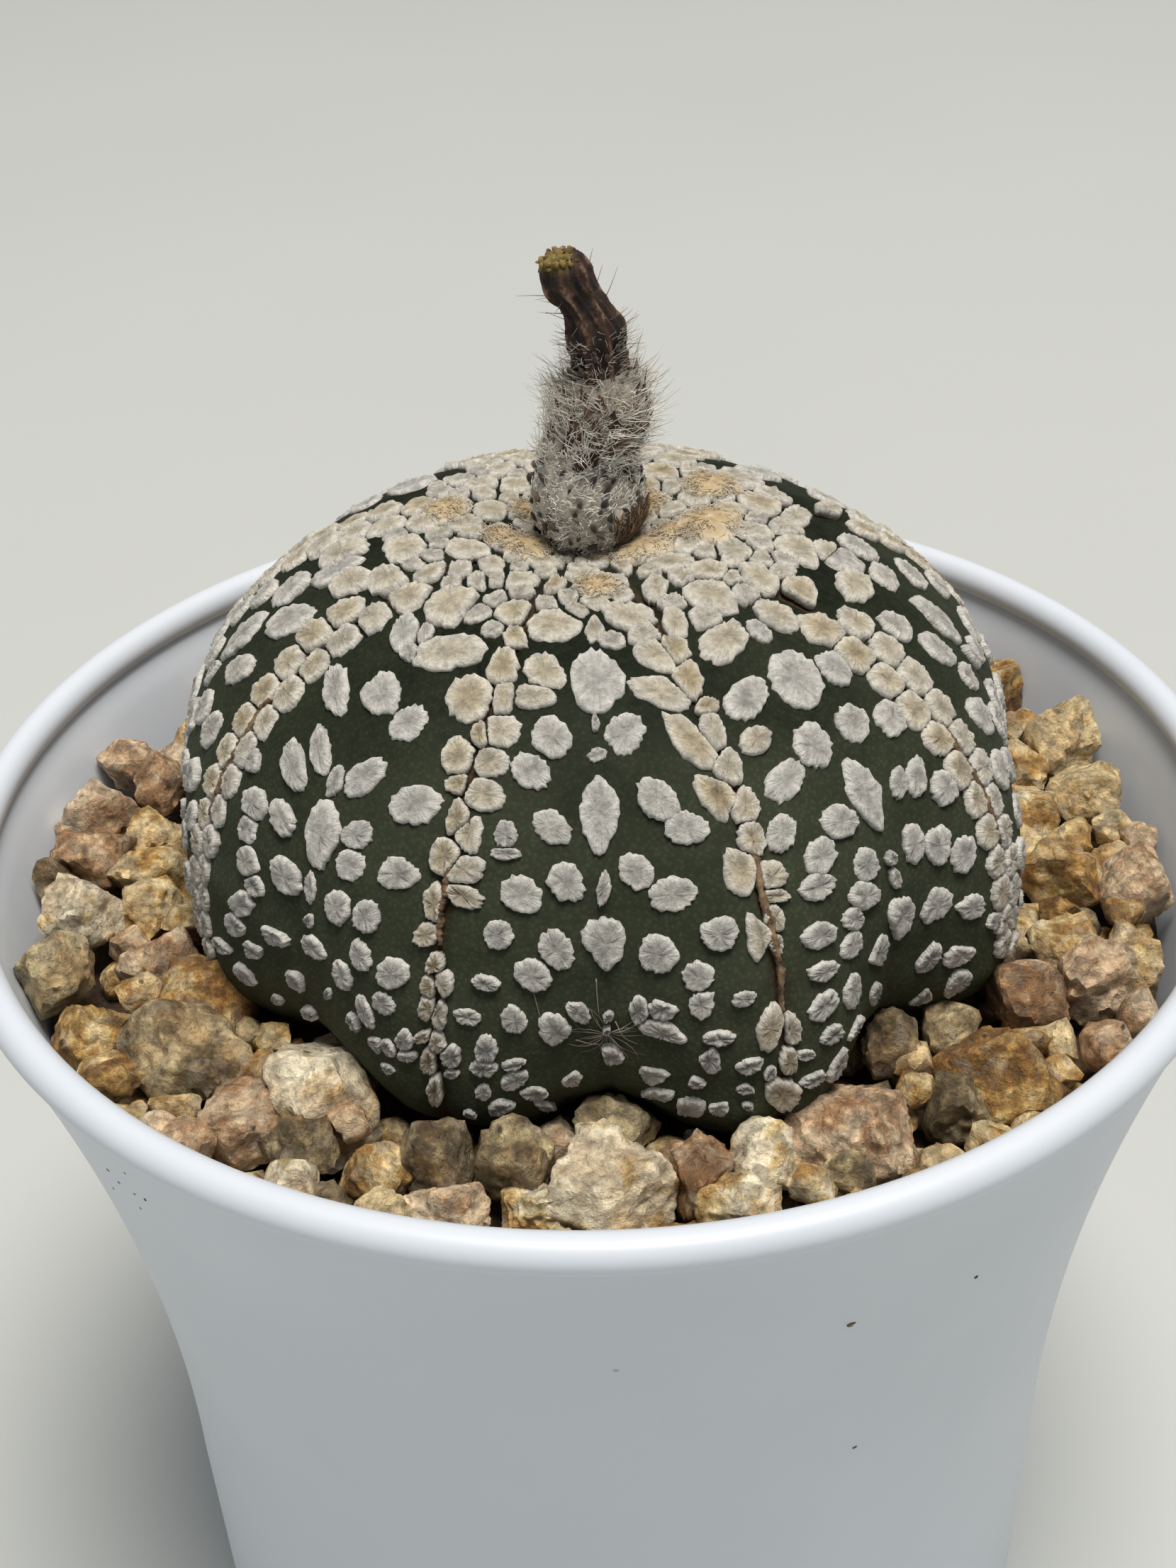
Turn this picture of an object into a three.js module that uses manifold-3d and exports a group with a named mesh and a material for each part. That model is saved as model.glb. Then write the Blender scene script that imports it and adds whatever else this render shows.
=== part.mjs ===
// A potted super kabuto star cactus: a low eight-ribbed dome in grit, in a flared white pot,
// with one withered flower on its crown. Millimetres, +Z up, front of the plant towards -Y,
// origin at the middle of the pot's foot.
import * as THREE from 'three';
import { ConvexGeometry } from 'three/addons/geometries/ConvexGeometry.js';
import { mergeVertices } from 'three/addons/utils/BufferGeometryUtils.js';
import Module from 'manifold-3d';

// Pot
const potHeight = 88;
const potRimRadius = 50;
const lipThickness = 2.8;
const wallThickness = 1.6;
const potNeckRadius = 39.3;
const potFlare = 10.4; // how far the wall runs out from the neck to the lip
const potFlareDepth = 62; // below the lip's middle, where the flare has faded out
const potFootRadius = 38.6;
const footRingWidth = 2.6;
const footRise = 1.5;
const chamfer = 1;
const potFloorTop = 3.5;
const drainHoleRadius = 3.2;
const drainHoleCircle = 24;
const drainHoleCount = 6;
const potSegments = 48;

// Soil and grit
const gap = 0.3; // left between pieces that touch
const skinGap = 0.4; // left round the plant's skin
const roomSwell = 1.008; // so that no corner of a scale reaches the grit
const mixTop = 70;
const gritBedTop = 78;
const lowerStoneHeight = 78.9;
const upperStoneHeight = 81.1;
const stoneRadiusMin = 2.5;
const stoneRadiusMax = 4.4;
const stoneSpacing = 0.86; // of the two radii added, so that neighbours run into each other
const stoneCorners = 9;
const stoneTwist = 0.7; // radians that a corner may turn out of its even spread
const stoneBump = [0.88, 1.12];
const stoneStretch = [[0.85, 1.2], [0.85, 1.2], [0.7, 0.9]];
const stoneLift = 0.7; // a stone lies this much higher or lower than its neighbours
const stoneTries = 6000;
const lowerStoneCount = 84;
const upperStoneCount = 16;

// Cactus body: a superellipse turned about its own axis, folded in along the areole lines
const bodyAxis = new THREE.Vector3(-0.1, 0.6, 84);
const bodyRadius = 33.7;
const domeHeight = 27.4;
const baseDepth = 11.2;
const squareness = 2.26;
const crownDip = 2.4;
const crownDipRadius = 8;
const foldDepth = 4.8;
const foldStart = 0.4; // in quarters of the meridian, from the crown
const foldSpan = 0.8;
// Degrees from the front, positive to the right: ribs meet at the seams, areoles run between them
const seamAngles = [-155, -108, -65, -20, 20, 59, 108, 156];
const areoleAngles = [-132, -86.5, -42, 0.5, 40, 84, 132, 180.5];
const seamSwell = [0, 0, -1.2, -0.4, 1.8, 0.9, 0.3, 0]; // how far each seam stands out or in
const seamGroove = 0.5;
const skinBaseLength = 51; // along the skin from the crown, where the scales end under the grit
const gritSkinLength = 52; // where the skin meets the grit's surface
const baseLengths = [54, 58, 63, 69, 76]; // rings of the bare skin below
const baseRingPoints = 32;

// Felt scales, sizes as half axes across and along the rib
const scaleRaise = 0.62;
const plateSize = 0.74; // of a scale's own size, where its flat top begins
const plateScaleArea = 1.3; // product of the half axes above which a scale has a flat top
const bigScaleArea = 2.1; // and above which it has five corners
const seamRowStart = 8;
const seamRowSteps = [3.1, 2.4]; // these pairs run from the crown to the base
const seamScaleAcross = [1.5, 0.85];
const seamScaleAlong = [1.35, 0.95];
const seamRowMargin = 0.35;
const crownScatter = { from: 4.5, to: 14, margin: 0.1, sizes: [1.2, 1.5], tries: 260 };
const faceScatter = { from: 14, to: 49.5, margin: 0.55, sizes: [1.75, 0.95], tries: 700 };
const sizeVariation = [0.87, 1.15];
const stretchVariation = [1.05, 1.45];
const tiltVariation = [15, 55]; // degrees, the tops of the scales leaning away from the areoles
const areoleMarks = [
  { length: 18.6, across: 1.8, along: 2.2 },
  { length: 27.7, across: 1.35, along: 2.8 },
  { length: 32.1, across: 0.5, along: 1.2 },
  { length: 36.4, across: 1.5, along: 1.6 },
  { length: 42.5, across: 0.8, along: 1.1 },
  { length: 46.0, across: 1.1, along: 0.8 },
];

// Root
const rootTopRadius = 7;
const rootTipRadius = 1.6;
const rootTopHeight = 71;
const rootTipHeight = 46;

// Withered flower: a woolly fruit with a second woolly swelling, then the dried tube
const fruitCurve = [
  [0.4, 0.6, 110.1],
  [0.15, 0.6, 113.4],
  [0.1, 0.6, 116.5],
  [1.2, 0.6, 119.6],
  [1.15, 0.6, 122.6],
];
const fruitRadii = [2.8, 4.5, 4.0, 4.3, 2.6];
const woolPeak = 0.9;
const bristleCount = 22;
const bristleReach = [1.4, 3.4]; // past the wool
const bristleRadii = [0.06, 0.34]; // at the tip and at the root
const tubeCurve = [
  [1.15, 0.6, 123.3],
  [1.05, 0.6, 124.9],
  [0.8, 0.6, 126.4],
  [-0.1, 0.6, 128.1],
  [-0.95, 0.6, 129.8],
  [-0.9, 0.6, 131.6],
];
const tubeRadii = [2.1, 2.1, 2.15, 1.7, 1.95, 1.6];
const tubePleats = 5;
const tubePleatDepth = 0.14;

const wasm = await Module();
wasm.setup();

// A repeatable random number source
function seededRandom(seed) {
  let state = seed;
  return () => {
    state = (state * 48271) % 2147483647;
    return state / 2147483647;
  };
}

const goldenAngle = Math.PI * (3 - Math.sqrt(5));
const radians = THREE.MathUtils.degToRad;
const lerp = THREE.MathUtils.lerp;

// Solids

function weld(geometry) {
  const bare = geometry.clone();
  bare.deleteAttribute('normal');
  bare.deleteAttribute('uv');
  return mergeVertices(bare, 1e-4);
}

function toManifold(geometry) {
  const welded = weld(geometry);
  const vertProperties = new Float32Array(welded.attributes.position.array);
  const triVerts = new Uint32Array(welded.index.array);
  return new wasm.Manifold(new wasm.Mesh({ numProp: 3, vertProperties, triVerts }));
}

function toGeometry(manifold) {
  const mesh = manifold.getMesh();
  const geometry = new THREE.BufferGeometry();
  geometry.setAttribute('position', new THREE.BufferAttribute(mesh.vertProperties, 3));
  geometry.setIndex(new THREE.BufferAttribute(mesh.triVerts, 1));
  return geometry;
}

function lathe(points, segments) {
  const profile = points.map(([radius, height]) => new THREE.Vector2(radius, height));
  const geometry = new THREE.LatheGeometry(profile, segments);
  geometry.rotateX(Math.PI / 2);
  return geometry;
}

// Closed skin over points that all see the given middle: neighbours are joined as their
// directions from the middle are on the hull of a unit ball. A point with a plate is the
// middle of a flat-topped scale, and the points round it are the scale's foot.
function starSkin(points, middle) {
  const placeOf = new Map();
  const key = (v) => `${Math.fround(v.x)},${Math.fround(v.y)},${Math.fround(v.z)}`;
  const directions = points.map((point) => {
    const direction = point.clone().sub(middle).normalize();
    placeOf.set(key(direction), point);
    return direction;
  });
  const skin = weld(new ConvexGeometry(directions));
  const direction = new THREE.Vector3();
  const places = Array.from({ length: skin.attributes.position.count }, (_, i) => (
    placeOf.get(key(direction.fromBufferAttribute(skin.attributes.position, i)))
  ));
  const triangles = [];
  const topCorners = new Map();
  const topCorner = (centre, foot) => {
    const name = `${centre},${foot}`;
    if (!topCorners.has(name)) {
      const lift = places[centre].clone().sub(places[centre].plateFoot);
      const corner = places[centre].plateFoot.clone().lerp(places[foot], plateSize).add(lift);
      topCorners.set(name, places.push(corner) - 1);
    }
    return topCorners.get(name);
  };
  for (let i = 0; i < skin.index.count; i += 3) {
    const corners = [0, 1, 2].map((step) => skin.index.getX(i + step));
    const middleStep = corners.findIndex((corner) => places[corner].plateFoot);
    if (middleStep < 0) {
      triangles.push(...corners);
    } else {
      const [centre, a, b] = [0, 1, 2].map((step) => corners[(middleStep + step) % 3]);
      const [aTop, bTop] = [topCorner(centre, a), topCorner(centre, b)];
      triangles.push(centre, aTop, bTop, aTop, a, b, aTop, b, bTop);
    }
  }
  const geometry = new THREE.BufferGeometry().setFromPoints(places);
  geometry.setIndex(triangles);
  return geometry;
}

// A round bar bent along a curve, its radius given by radiusAt(part of the length, turn)
function bentBar(curve, radiusAt, rings, sides) {
  const bar = weld(new THREE.CylinderGeometry(1, 1, 1, sides, rings));
  const position = bar.attributes.position;
  const across = new THREE.Vector3(1, 0, 0);
  for (let i = 0; i < position.count; i += 1) {
    const part = THREE.MathUtils.clamp(position.getY(i) + 0.5, 0, 1);
    const centre = curve.getPoint(part);
    const along = curve.getTangent(part);
    const side = new THREE.Vector3().crossVectors(along, across).normalize();
    const front = new THREE.Vector3().crossVectors(side, along).normalize();
    const reach = Math.hypot(position.getX(i), position.getZ(i));
    const turn = Math.atan2(position.getZ(i), position.getX(i));
    const radius = reach * radiusAt(part, turn);
    centre.addScaledVector(front, radius * Math.cos(turn));
    centre.addScaledVector(side, -radius * Math.sin(turn));
    position.setXYZ(i, centre.x, centre.y, centre.z);
  }
  return bar;
}

function curveThrough(points) {
  return new THREE.CatmullRomCurve3(points.map((point) => new THREE.Vector3(...point)));
}

function vary([least, most], random) {
  return lerp(least, most, random());
}

// Value of a list of evenly spaced numbers at a part of its length
function sample(values, part) {
  const place = part * (values.length - 1);
  const step = Math.min(Math.floor(place), values.length - 2);
  return lerp(values[step], values[step + 1], place - step);
}

// Pot

const lipMiddle = potHeight - lipThickness / 2;
const lipTuck = lipMiddle - lipThickness * 0.6; // where the wall runs into the lip

function potOuterRadius(height) {
  const depth = lipMiddle - height;
  if (depth < potFlareDepth) {
    return potNeckRadius + potFlare * (1 - depth / potFlareDepth) ** 2;
  }
  const neckHeight = lipMiddle - potFlareDepth;
  return lerp(potFootRadius, potNeckRadius, Math.max(height, 0) / neckHeight);
}

function potInnerRadius(height) {
  return potOuterRadius(height) - wallThickness;
}

function wallHeights(from, to, steps) {
  return Array.from({ length: steps + 1 }, (_, i) => lerp(from, to, i / steps));
}

function lipArc(steps) {
  const bead = lipThickness / 2;
  return Array.from({ length: steps + 1 }, (_, i) => {
    const angle = lerp(-Math.PI / 3, (4 * Math.PI) / 3, i / steps);
    return [potRimRadius - bead + bead * Math.cos(angle), lipMiddle + bead * Math.sin(angle)];
  });
}

function makePot() {
  const outside = wallHeights(chamfer, lipTuck, 6).map((height) => [potOuterRadius(height), height]);
  const inside = wallHeights(lipTuck, potFloorTop, 5).map((height) => [potInnerRadius(height), height]);
  const footInner = potFootRadius - chamfer - footRingWidth;
  const shell = lathe(
    [
      [0, footRise],
      [footInner - chamfer, footRise],
      [footInner, 0],
      [potFootRadius - chamfer, 0],
      ...outside,
      ...lipArc(6),
      ...inside,
      [0, potFloorTop],
    ],
    potSegments,
  );
  let pot = toManifold(shell);
  for (let i = 0; i <= drainHoleCount; i += 1) {
    const drill = new THREE.CylinderGeometry(drainHoleRadius, drainHoleRadius, 3 * potFloorTop, 10);
    drill.rotateX(Math.PI / 2);
    if (i < drainHoleCount) {
      const turn = (i / drainHoleCount) * 2 * Math.PI;
      drill.translate(drainHoleCircle * Math.cos(turn), drainHoleCircle * Math.sin(turn), 0);
    }
    pot = pot.subtract(toManifold(drill));
  }
  return toGeometry(pot);
}

// Cactus skin

function meridian(t) {
  const angle = (t * Math.PI) / 2;
  const side = Math.abs(Math.sin(angle));
  const rise = Math.cos(angle);
  const scale = (side ** squareness + Math.abs(rise) ** squareness) ** (-1 / squareness);
  const radius = bodyRadius * side * scale;
  const dip = rise > 0 ? crownDip * Math.exp(-((radius / crownDipRadius) ** 2)) : 0;
  const reach = rise > 0 ? domeHeight : baseDepth;
  return { radius, height: reach * rise * scale - dip };
}

// Skin lengths from the crown down the plain meridian, one for each small step of t
const meridianStep = 0.005;
const skinLengths = [0];
for (let t = meridianStep; t < 2; t += meridianStep) {
  const from = meridian(t - meridianStep);
  const to = meridian(t);
  const step = Math.hypot(to.radius - from.radius, to.height - from.height);
  skinLengths.push(skinLengths.at(-1) + step);
}

function meridianAt(length) {
  const next = Math.max(skinLengths.findIndex((reached) => reached >= length), 1);
  const part = (length - skinLengths[next - 1]) / (skinLengths[next] - skinLengths[next - 1]);
  return meridianStep * (next - 1 + THREE.MathUtils.clamp(part, 0, 1));
}

// Where an angle lies on its rib face: -1 at the left seam, 0 on the areoles, 1 at the right seam
function acrossFace(angle) {
  const first = seamAngles[0];
  const turned = THREE.MathUtils.euclideanModulo(angle - first, 360) + first;
  const face = seamAngles.findLastIndex((seam) => seam <= turned);
  const right = face + 1 < seamAngles.length ? seamAngles[face + 1] : first + 360;
  const middle = areoleAngles[face];
  const across = turned < middle
    ? (turned - middle) / (middle - seamAngles[face])
    : (turned - middle) / (right - middle);
  return { face, across };
}

function plainSkinPoint(t, angle) {
  const { radius, height } = meridian(t);
  const { face, across } = acrossFace(angle);
  const towardsBase = THREE.MathUtils.clamp((t - foldStart) / foldSpan, 0, 1) ** 2;
  const fold = foldDepth * towardsBase * ((1 + Math.cos(Math.PI * across)) / 2) ** 1.5;
  const seam = across < 0 ? face : (face + 1) % seamAngles.length;
  const swell = seamSwell[seam] * Math.sin((Math.PI / 2) * across) ** 2;
  const reach = radius * (1 + (swell - fold) / bodyRadius);
  const turn = radians(angle);
  return new THREE.Vector3(reach * Math.sin(turn), -reach * Math.cos(turn), height).add(bodyAxis);
}

// A point of the skin, moved out along its normal by the given height
function skinPoint(length, angle, proud = 0) {
  const t = meridianAt(length);
  const nudge = 0.01;
  const point = plainSkinPoint(t, angle);
  const down = plainSkinPoint(t + nudge, angle).sub(point);
  const round = plainSkinPoint(t, angle + nudge * 90).sub(point);
  const normal = down.cross(round).normalize();
  return point.addScaledVector(normal, proud);
}

// Scales: each has a place along and across a face, half axes, a tilt and a height

function faceSpan(face, length) {
  const { radius } = meridian(meridianAt(length));
  const right = seamAngles[face + 1] ?? seamAngles[0] + 360;
  const left = radians(areoleAngles[face] - seamAngles[face]) * radius;
  return { radius, left, right: radians(right - areoleAngles[face]) * radius };
}

function areoleScales(face) {
  return areoleMarks.map((mark) => ({ face, offset: 0, tilt: 0, raise: scaleRaise, ...mark }));
}

// Scales dropped at random places between two skin lengths and kept where they clear the others
function scatterScales(face, taken, { from, to, margin, sizes, tries }, random) {
  const scales = [];
  for (let attempt = 0; attempt < tries; attempt += 1) {
    const length = lerp(from, to, random());
    const { left, right } = faceSpan(face, length);
    const offset = lerp(-left, right, random());
    const across = sample(sizes, (length - from) / (to - from)) * vary(sizeVariation, random);
    const along = across * vary(stretchVariation, random);
    const tilt = -Math.sign(offset) * vary(tiltVariation, random);
    const scale = { face, length, offset, across, along, tilt, raise: scaleRaise };
    const inside = Math.min(left + offset, right - offset) > across + seamRowMargin;
    const clear = [...taken, ...scales].every((other) => (
      Math.hypot(other.offset - offset, other.length - length) > reachOf(other) + reachOf(scale) + margin
    ));
    if (inside && clear) {
      scales.push(scale);
    }
  }
  return scales;
}

function reachOf(scale) {
  return lerp(scale.across, scale.along, 0.65);
}

// Two rows of scales along the seams at the face's edges, one row offset by half a step
function seamScales(face, random) {
  const scales = [];
  const end = skinBaseLength - 1;
  for (const side of [-1, 1]) {
    let length = seamRowStart + (side > 0 ? seamRowSteps[0] / 2 : 0);
    while (length < end) {
      const towardsBase = (length - seamRowStart) / (end - seamRowStart);
      const { left, right } = faceSpan(face, length);
      const across = sample(seamScaleAcross, towardsBase) * vary(sizeVariation, random);
      const along = sample(seamScaleAlong, towardsBase);
      const edge = side < 0 ? -left : right;
      const offset = edge - side * (across + seamRowMargin);
      scales.push({ face, length, offset, across, along, tilt: 0, raise: scaleRaise });
      length += sample(seamRowSteps, towardsBase);
    }
  }
  return scales;
}

// A scale is a low plate with sloping edges, or a low peak where it is small
function scalePoints(scale) {
  const { radius } = meridian(meridianAt(scale.length));
  const area = scale.across * scale.along;
  const sides = area > bigScaleArea ? 5 : 4;
  const place = (offset, along, proud) => {
    const angle = areoleAngles[scale.face] + THREE.MathUtils.radToDeg((scale.offset + offset) / radius);
    return skinPoint(scale.length + along, angle, proud);
  };
  const turned = radians(scale.tilt);
  const rim = Array.from({ length: sides }, (_, i) => {
    const turn = ((i + 0.5) / sides) * 2 * Math.PI;
    const across = scale.across * Math.sin(turn);
    const along = scale.along * Math.cos(turn);
    const offset = across * Math.cos(turned) - along * Math.sin(turned);
    return place(offset, across * Math.sin(turned) + along * Math.cos(turned), 0);
  });
  const top = place(0, 0, scale.raise);
  if (area > plateScaleArea) {
    top.plateFoot = place(0, 0, 0);
  }
  return [...rim, top];
}

// Lowest stretch of the skin, hidden in the grit
function baseRings() {
  const rings = [];
  for (const length of baseLengths) {
    for (let i = 0; i < baseRingPoints; i += 1) {
      rings.push(skinPoint(length, (i * 360) / baseRingPoints, 0));
    }
  }
  return rings;
}

// The tap root under the body, or with a clearance the hole that it stands in
function rootPoints(clearance) {
  const points = [];
  const sides = 12;
  const rings = 4;
  for (let ring = 0; ring <= rings; ring += 1) {
    const part = ring / rings;
    const radius = lerp(rootTopRadius, rootTipRadius, part ** 0.7) + clearance;
    const height = lerp(rootTopHeight, rootTipHeight, part);
    for (let i = 0; i < sides; i += 1) {
      const turn = (i / sides) * 2 * Math.PI;
      points.push(new THREE.Vector3(
        bodyAxis.x + radius * Math.cos(turn),
        bodyAxis.y + radius * Math.sin(turn),
        height,
      ));
    }
  }
  points.push(new THREE.Vector3(bodyAxis.x, bodyAxis.y, rootTipHeight - 1 - clearance));
  return points;
}

function makeCactusBody() {
  const random = seededRandom(11);
  const points = [skinPoint(0.4, 0, 0)];
  for (let face = 0; face < seamAngles.length; face += 1) {
    const scales = [...areoleScales(face), ...seamScales(face, random)];
    scales.push(...scatterScales(face, scales, crownScatter, random));
    scales.push(...scatterScales(face, scales, faceScatter, random));
    points.push(...scales.flatMap(scalePoints));
    for (let length = 4; length < skinBaseLength; length += 2.4) {
      points.push(skinPoint(length, seamAngles[face], -seamGroove));
    }
  }
  return starSkin([...points, ...baseRings(), ...rootPoints(0)], bodyAxis);
}

// The room that the grit and the soil leave for the plant: a plain skin clear of the scales,
// joined with the plant itself swollen from its middle
function makePlantRoom(cactus) {
  const swollen = cactus.clone().translate(-bodyAxis.x, -bodyAxis.y, -bodyAxis.z);
  swollen.scale(roomSwell, roomSwell, roomSwell).translate(bodyAxis.x, bodyAxis.y, bodyAxis.z);
  const points = [skinPoint(0.4, 0, skinGap)];
  for (let length = 6; length < 78; length += length < 40 ? 8 : 3.2) {
    const clearance = length > skinBaseLength + 2 ? skinGap : skinGap + scaleRaise;
    for (let i = 0; i < 48; i += 1) {
      points.push(skinPoint(length, i * 7.5, clearance));
    }
  }
  return toManifold(starSkin([...points, ...rootPoints(gap)], bodyAxis)).add(toManifold(swollen));
}

// Soil and grit

function makePottingMix(plantRoom) {
  const bottom = potFloorTop + gap;
  const side = wallHeights(bottom, mixTop, 5).map((height) => [potInnerRadius(height) - gap, height]);
  const block = toManifold(lathe([[0, bottom], ...side, [0, mixTop]], potSegments));
  return toGeometry(block.subtract(plantRoom));
}

// An angular pebble: the hull of corners spread evenly over a ball and drawn in or out
function makeStone(place, radius, random) {
  const stretch = new THREE.Vector3(...stoneStretch.map((range) => vary(range, random)));
  const corners = Array.from({ length: stoneCorners }, (_, i) => {
    const height = 1 - (2 * (i + 0.5)) / stoneCorners;
    const turn = i * goldenAngle + random() * stoneTwist;
    const side = Math.sqrt(1 - height * height);
    const corner = new THREE.Vector3(side * Math.cos(turn), side * Math.sin(turn), height);
    return corner.multiplyScalar(radius * vary(stoneBump, random)).multiply(stretch);
  });
  const stone = new ConvexGeometry(corners);
  stone.rotateX(random() * Math.PI);
  stone.rotateZ(random() * 2 * Math.PI);
  stone.translate(place.x, place.y, place.z);
  return toManifold(stone);
}

// Stones are dropped at random places on the grit and kept where they clear the ones before
function scatterStones(count, height, random) {
  const stones = [];
  const placed = [];
  for (let attempt = 0; attempt < stoneTries && placed.length < count; attempt += 1) {
    const radius = lerp(stoneRadiusMin, stoneRadiusMax, random() ** 1.6);
    const angle = random() * 360;
    const beside = skinPoint(gritSkinLength, angle);
    const inner = Math.hypot(beside.x, beside.y);
    const outer = potInnerRadius(height) - gap - radius;
    const distance = Math.sqrt(lerp(inner ** 2, outer ** 2, random()));
    const x = distance * Math.sin(radians(angle));
    const y = -distance * Math.cos(radians(angle));
    const clear = placed.every((other) => (
      Math.hypot(other.x - x, other.y - y) > stoneSpacing * (other.radius + radius)
    ));
    if (clear) {
      const z = height + vary([-stoneLift, stoneLift], random);
      placed.push({ x, y, radius });
      stones.push(makeStone({ x, y, z }, radius, random));
    }
  }
  return stones;
}

function makeGrit(plantRoom) {
  const random = seededRandom(29);
  const bottom = mixTop + gap;
  const top = lipMiddle;
  const roomSide = wallHeights(bottom, top, 4).map((height) => [potInnerRadius(height) - gap, height]);
  const bedSide = [bottom, gritBedTop].map((height) => [potInnerRadius(height) - 2 * gap, height]);
  const potRoom = toManifold(lathe([[0, bottom], ...roomSide, [0, top]], potSegments));
  const bed = toManifold(lathe([[0, bottom], ...bedSide, [0, gritBedTop]], potSegments));
  const stones = [
    ...scatterStones(lowerStoneCount, lowerStoneHeight, random),
    ...scatterStones(upperStoneCount, upperStoneHeight, random),
  ];
  const heap = wasm.Manifold.union([bed, ...stones]);
  const fitted = heap.intersect(potRoom).subtract(plantRoom);
  const pieces = fitted.decompose().sort((a, b) => b.volume() - a.volume());
  return toGeometry(pieces[0]);
}

// Withered flower

function makeWoollyFruit() {
  const random = seededRandom(5);
  const curve = curveThrough(fruitCurve);
  const radiusAt = (part) => {
    const ends = Math.min(1, 3 * Math.sqrt(1 - part) + 0.25);
    return sample(fruitRadii, part) * ends + woolPeak * (random() - 0.4);
  };
  let fruit = toManifold(bentBar(curve, radiusAt, 8, 13));
  for (let i = 0; i < bristleCount; i += 1) {
    const part = 0.25 + 0.7 * random();
    const turn = random() * 2 * Math.PI;
    const root = curve.getPoint(part);
    const reach = sample(fruitRadii, part) + vary(bristleReach, random);
    const bristle = new THREE.CylinderGeometry(...bristleRadii, reach, 3, 1);
    bristle.translate(0, reach / 2, 0);
    bristle.rotateZ(-Math.PI / 2 + 0.5 * random());
    bristle.rotateX(Math.PI / 2);
    bristle.rotateZ(turn);
    bristle.translate(root.x, root.y, root.z);
    fruit = fruit.add(toManifold(bristle));
  }
  return toGeometry(fruit);
}

function makeFlowerTube() {
  const random = seededRandom(3);
  const radiusAt = (part, turn) => {
    const pleat = 1 + tubePleatDepth * Math.cos(tubePleats * turn + 3 * part);
    return sample(tubeRadii, part) * pleat * (0.94 + 0.12 * random());
  };
  return bentBar(curveThrough(tubeCurve), radiusAt, 10, 15);
}

// Assembly

const finishes = {
  pot: { color: '#e9ebee', roughness: 0.42, metalness: 0 },
  soil: { color: '#4a3b2d', roughness: 1, metalness: 0 },
  grit: { color: '#b89566', roughness: 0.85, metalness: 0 },
  skin: { color: '#3c4638', roughness: 0.7, metalness: 0 },
  wool: { color: '#b9b0a4', roughness: 1, metalness: 0 },
  driedFlower: { color: '#4f3a31', roughness: 0.9, metalness: 0 },
};

function part(name, geometry, finish) {
  const mesh = new THREE.Mesh(geometry, new THREE.MeshStandardMaterial(finish));
  mesh.name = name;
  return mesh;
}

const cactus = makeCactusBody();
const plantRoom = makePlantRoom(cactus);

const group = new THREE.Group();
group.add(part('pot', makePot(), finishes.pot));
group.add(part('potting_mix', makePottingMix(plantRoom), finishes.soil));
group.add(part('grit', makeGrit(plantRoom), finishes.grit));
group.add(part('cactus_body', cactus, finishes.skin));
group.add(part('woolly_fruit', makeWoollyFruit(), finishes.wool));
group.add(part('dried_flower_tube', makeFlowerTube(), finishes.driedFlower));

export default group;
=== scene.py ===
"""Visual model of a potted super kabuto star cactus: skin, felt scales, grit, pot and withered flower.

Sizes are in millimetres in the frame of the CAD part (origin at the middle of the pot's foot, +Z up,
front of the plant towards -Y), and become metres where a mesh is made.
"""
import logging
import math
from dataclasses import dataclass, field
from enum import Enum
from functools import cached_property, partial
from typing import Any, Callable, Sequence

import bmesh
import bpy
import numpy as np
from mathutils import Matrix, Vector
from mathutils.bvhtree import BVHTree
from numpy.random import Generator, default_rng


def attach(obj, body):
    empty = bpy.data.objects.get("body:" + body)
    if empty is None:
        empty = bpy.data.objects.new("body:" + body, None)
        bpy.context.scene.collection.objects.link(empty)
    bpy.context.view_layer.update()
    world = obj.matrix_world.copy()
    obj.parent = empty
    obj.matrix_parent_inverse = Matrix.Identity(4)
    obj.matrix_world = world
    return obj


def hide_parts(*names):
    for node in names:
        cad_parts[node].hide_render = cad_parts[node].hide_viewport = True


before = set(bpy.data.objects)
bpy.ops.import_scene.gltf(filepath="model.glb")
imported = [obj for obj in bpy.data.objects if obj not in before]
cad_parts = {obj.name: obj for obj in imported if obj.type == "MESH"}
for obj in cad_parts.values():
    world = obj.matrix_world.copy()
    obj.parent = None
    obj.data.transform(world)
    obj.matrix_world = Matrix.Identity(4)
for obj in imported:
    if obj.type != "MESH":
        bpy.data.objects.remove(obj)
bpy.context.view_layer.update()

log = logging.getLogger("star_cactus")

MM = 0.001
TURN = 2 * math.pi
GOLDEN_TURN = math.pi * (3 - math.sqrt(5))  # spreads points evenly over a ball


def linear(code: str) -> tuple[float, float, float, float]:
    """Turns an sRGB hex colour into the linear colour that shaders use."""
    parts = [int(code[i:i + 2], 16) / 255 for i in (1, 3, 5)]
    lin = [p / 12.92 if p <= 0.04045 else ((p + 0.055) / 1.055) ** 2.4 for p in parts]
    return (lin[0], lin[1], lin[2], 1.0)


def per_mm(size: float) -> float:
    """Scale of a texture over object coordinates whose features are the given millimetres apart."""
    return 1 / (size * MM)


def feed(node: bpy.types.Node, *values: Any, **named: Any) -> None:
    """Fills a node's inputs with numbers, hex colours, sockets, or nodes that give their first open output.

    Args:
        node: the node.
        values: what its open inputs take, in their order.
        named: what single inputs take, by name, with _ for a space.
    """
    sockets = [socket for socket in node.inputs if socket.enabled]
    wanted = list(zip(sockets, values)) + [(node.inputs[name.replace("_", " ")], v)
                                           for name, v in named.items()]
    for socket, value in wanted:
        if isinstance(value, bpy.types.Node):
            value = next(out for out in value.outputs if out.enabled)
        if isinstance(value, bpy.types.NodeSocket):
            node.id_data.links.new(value, socket)
        else:
            socket.default_value = linear(value) if isinstance(value, str) else value


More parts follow.
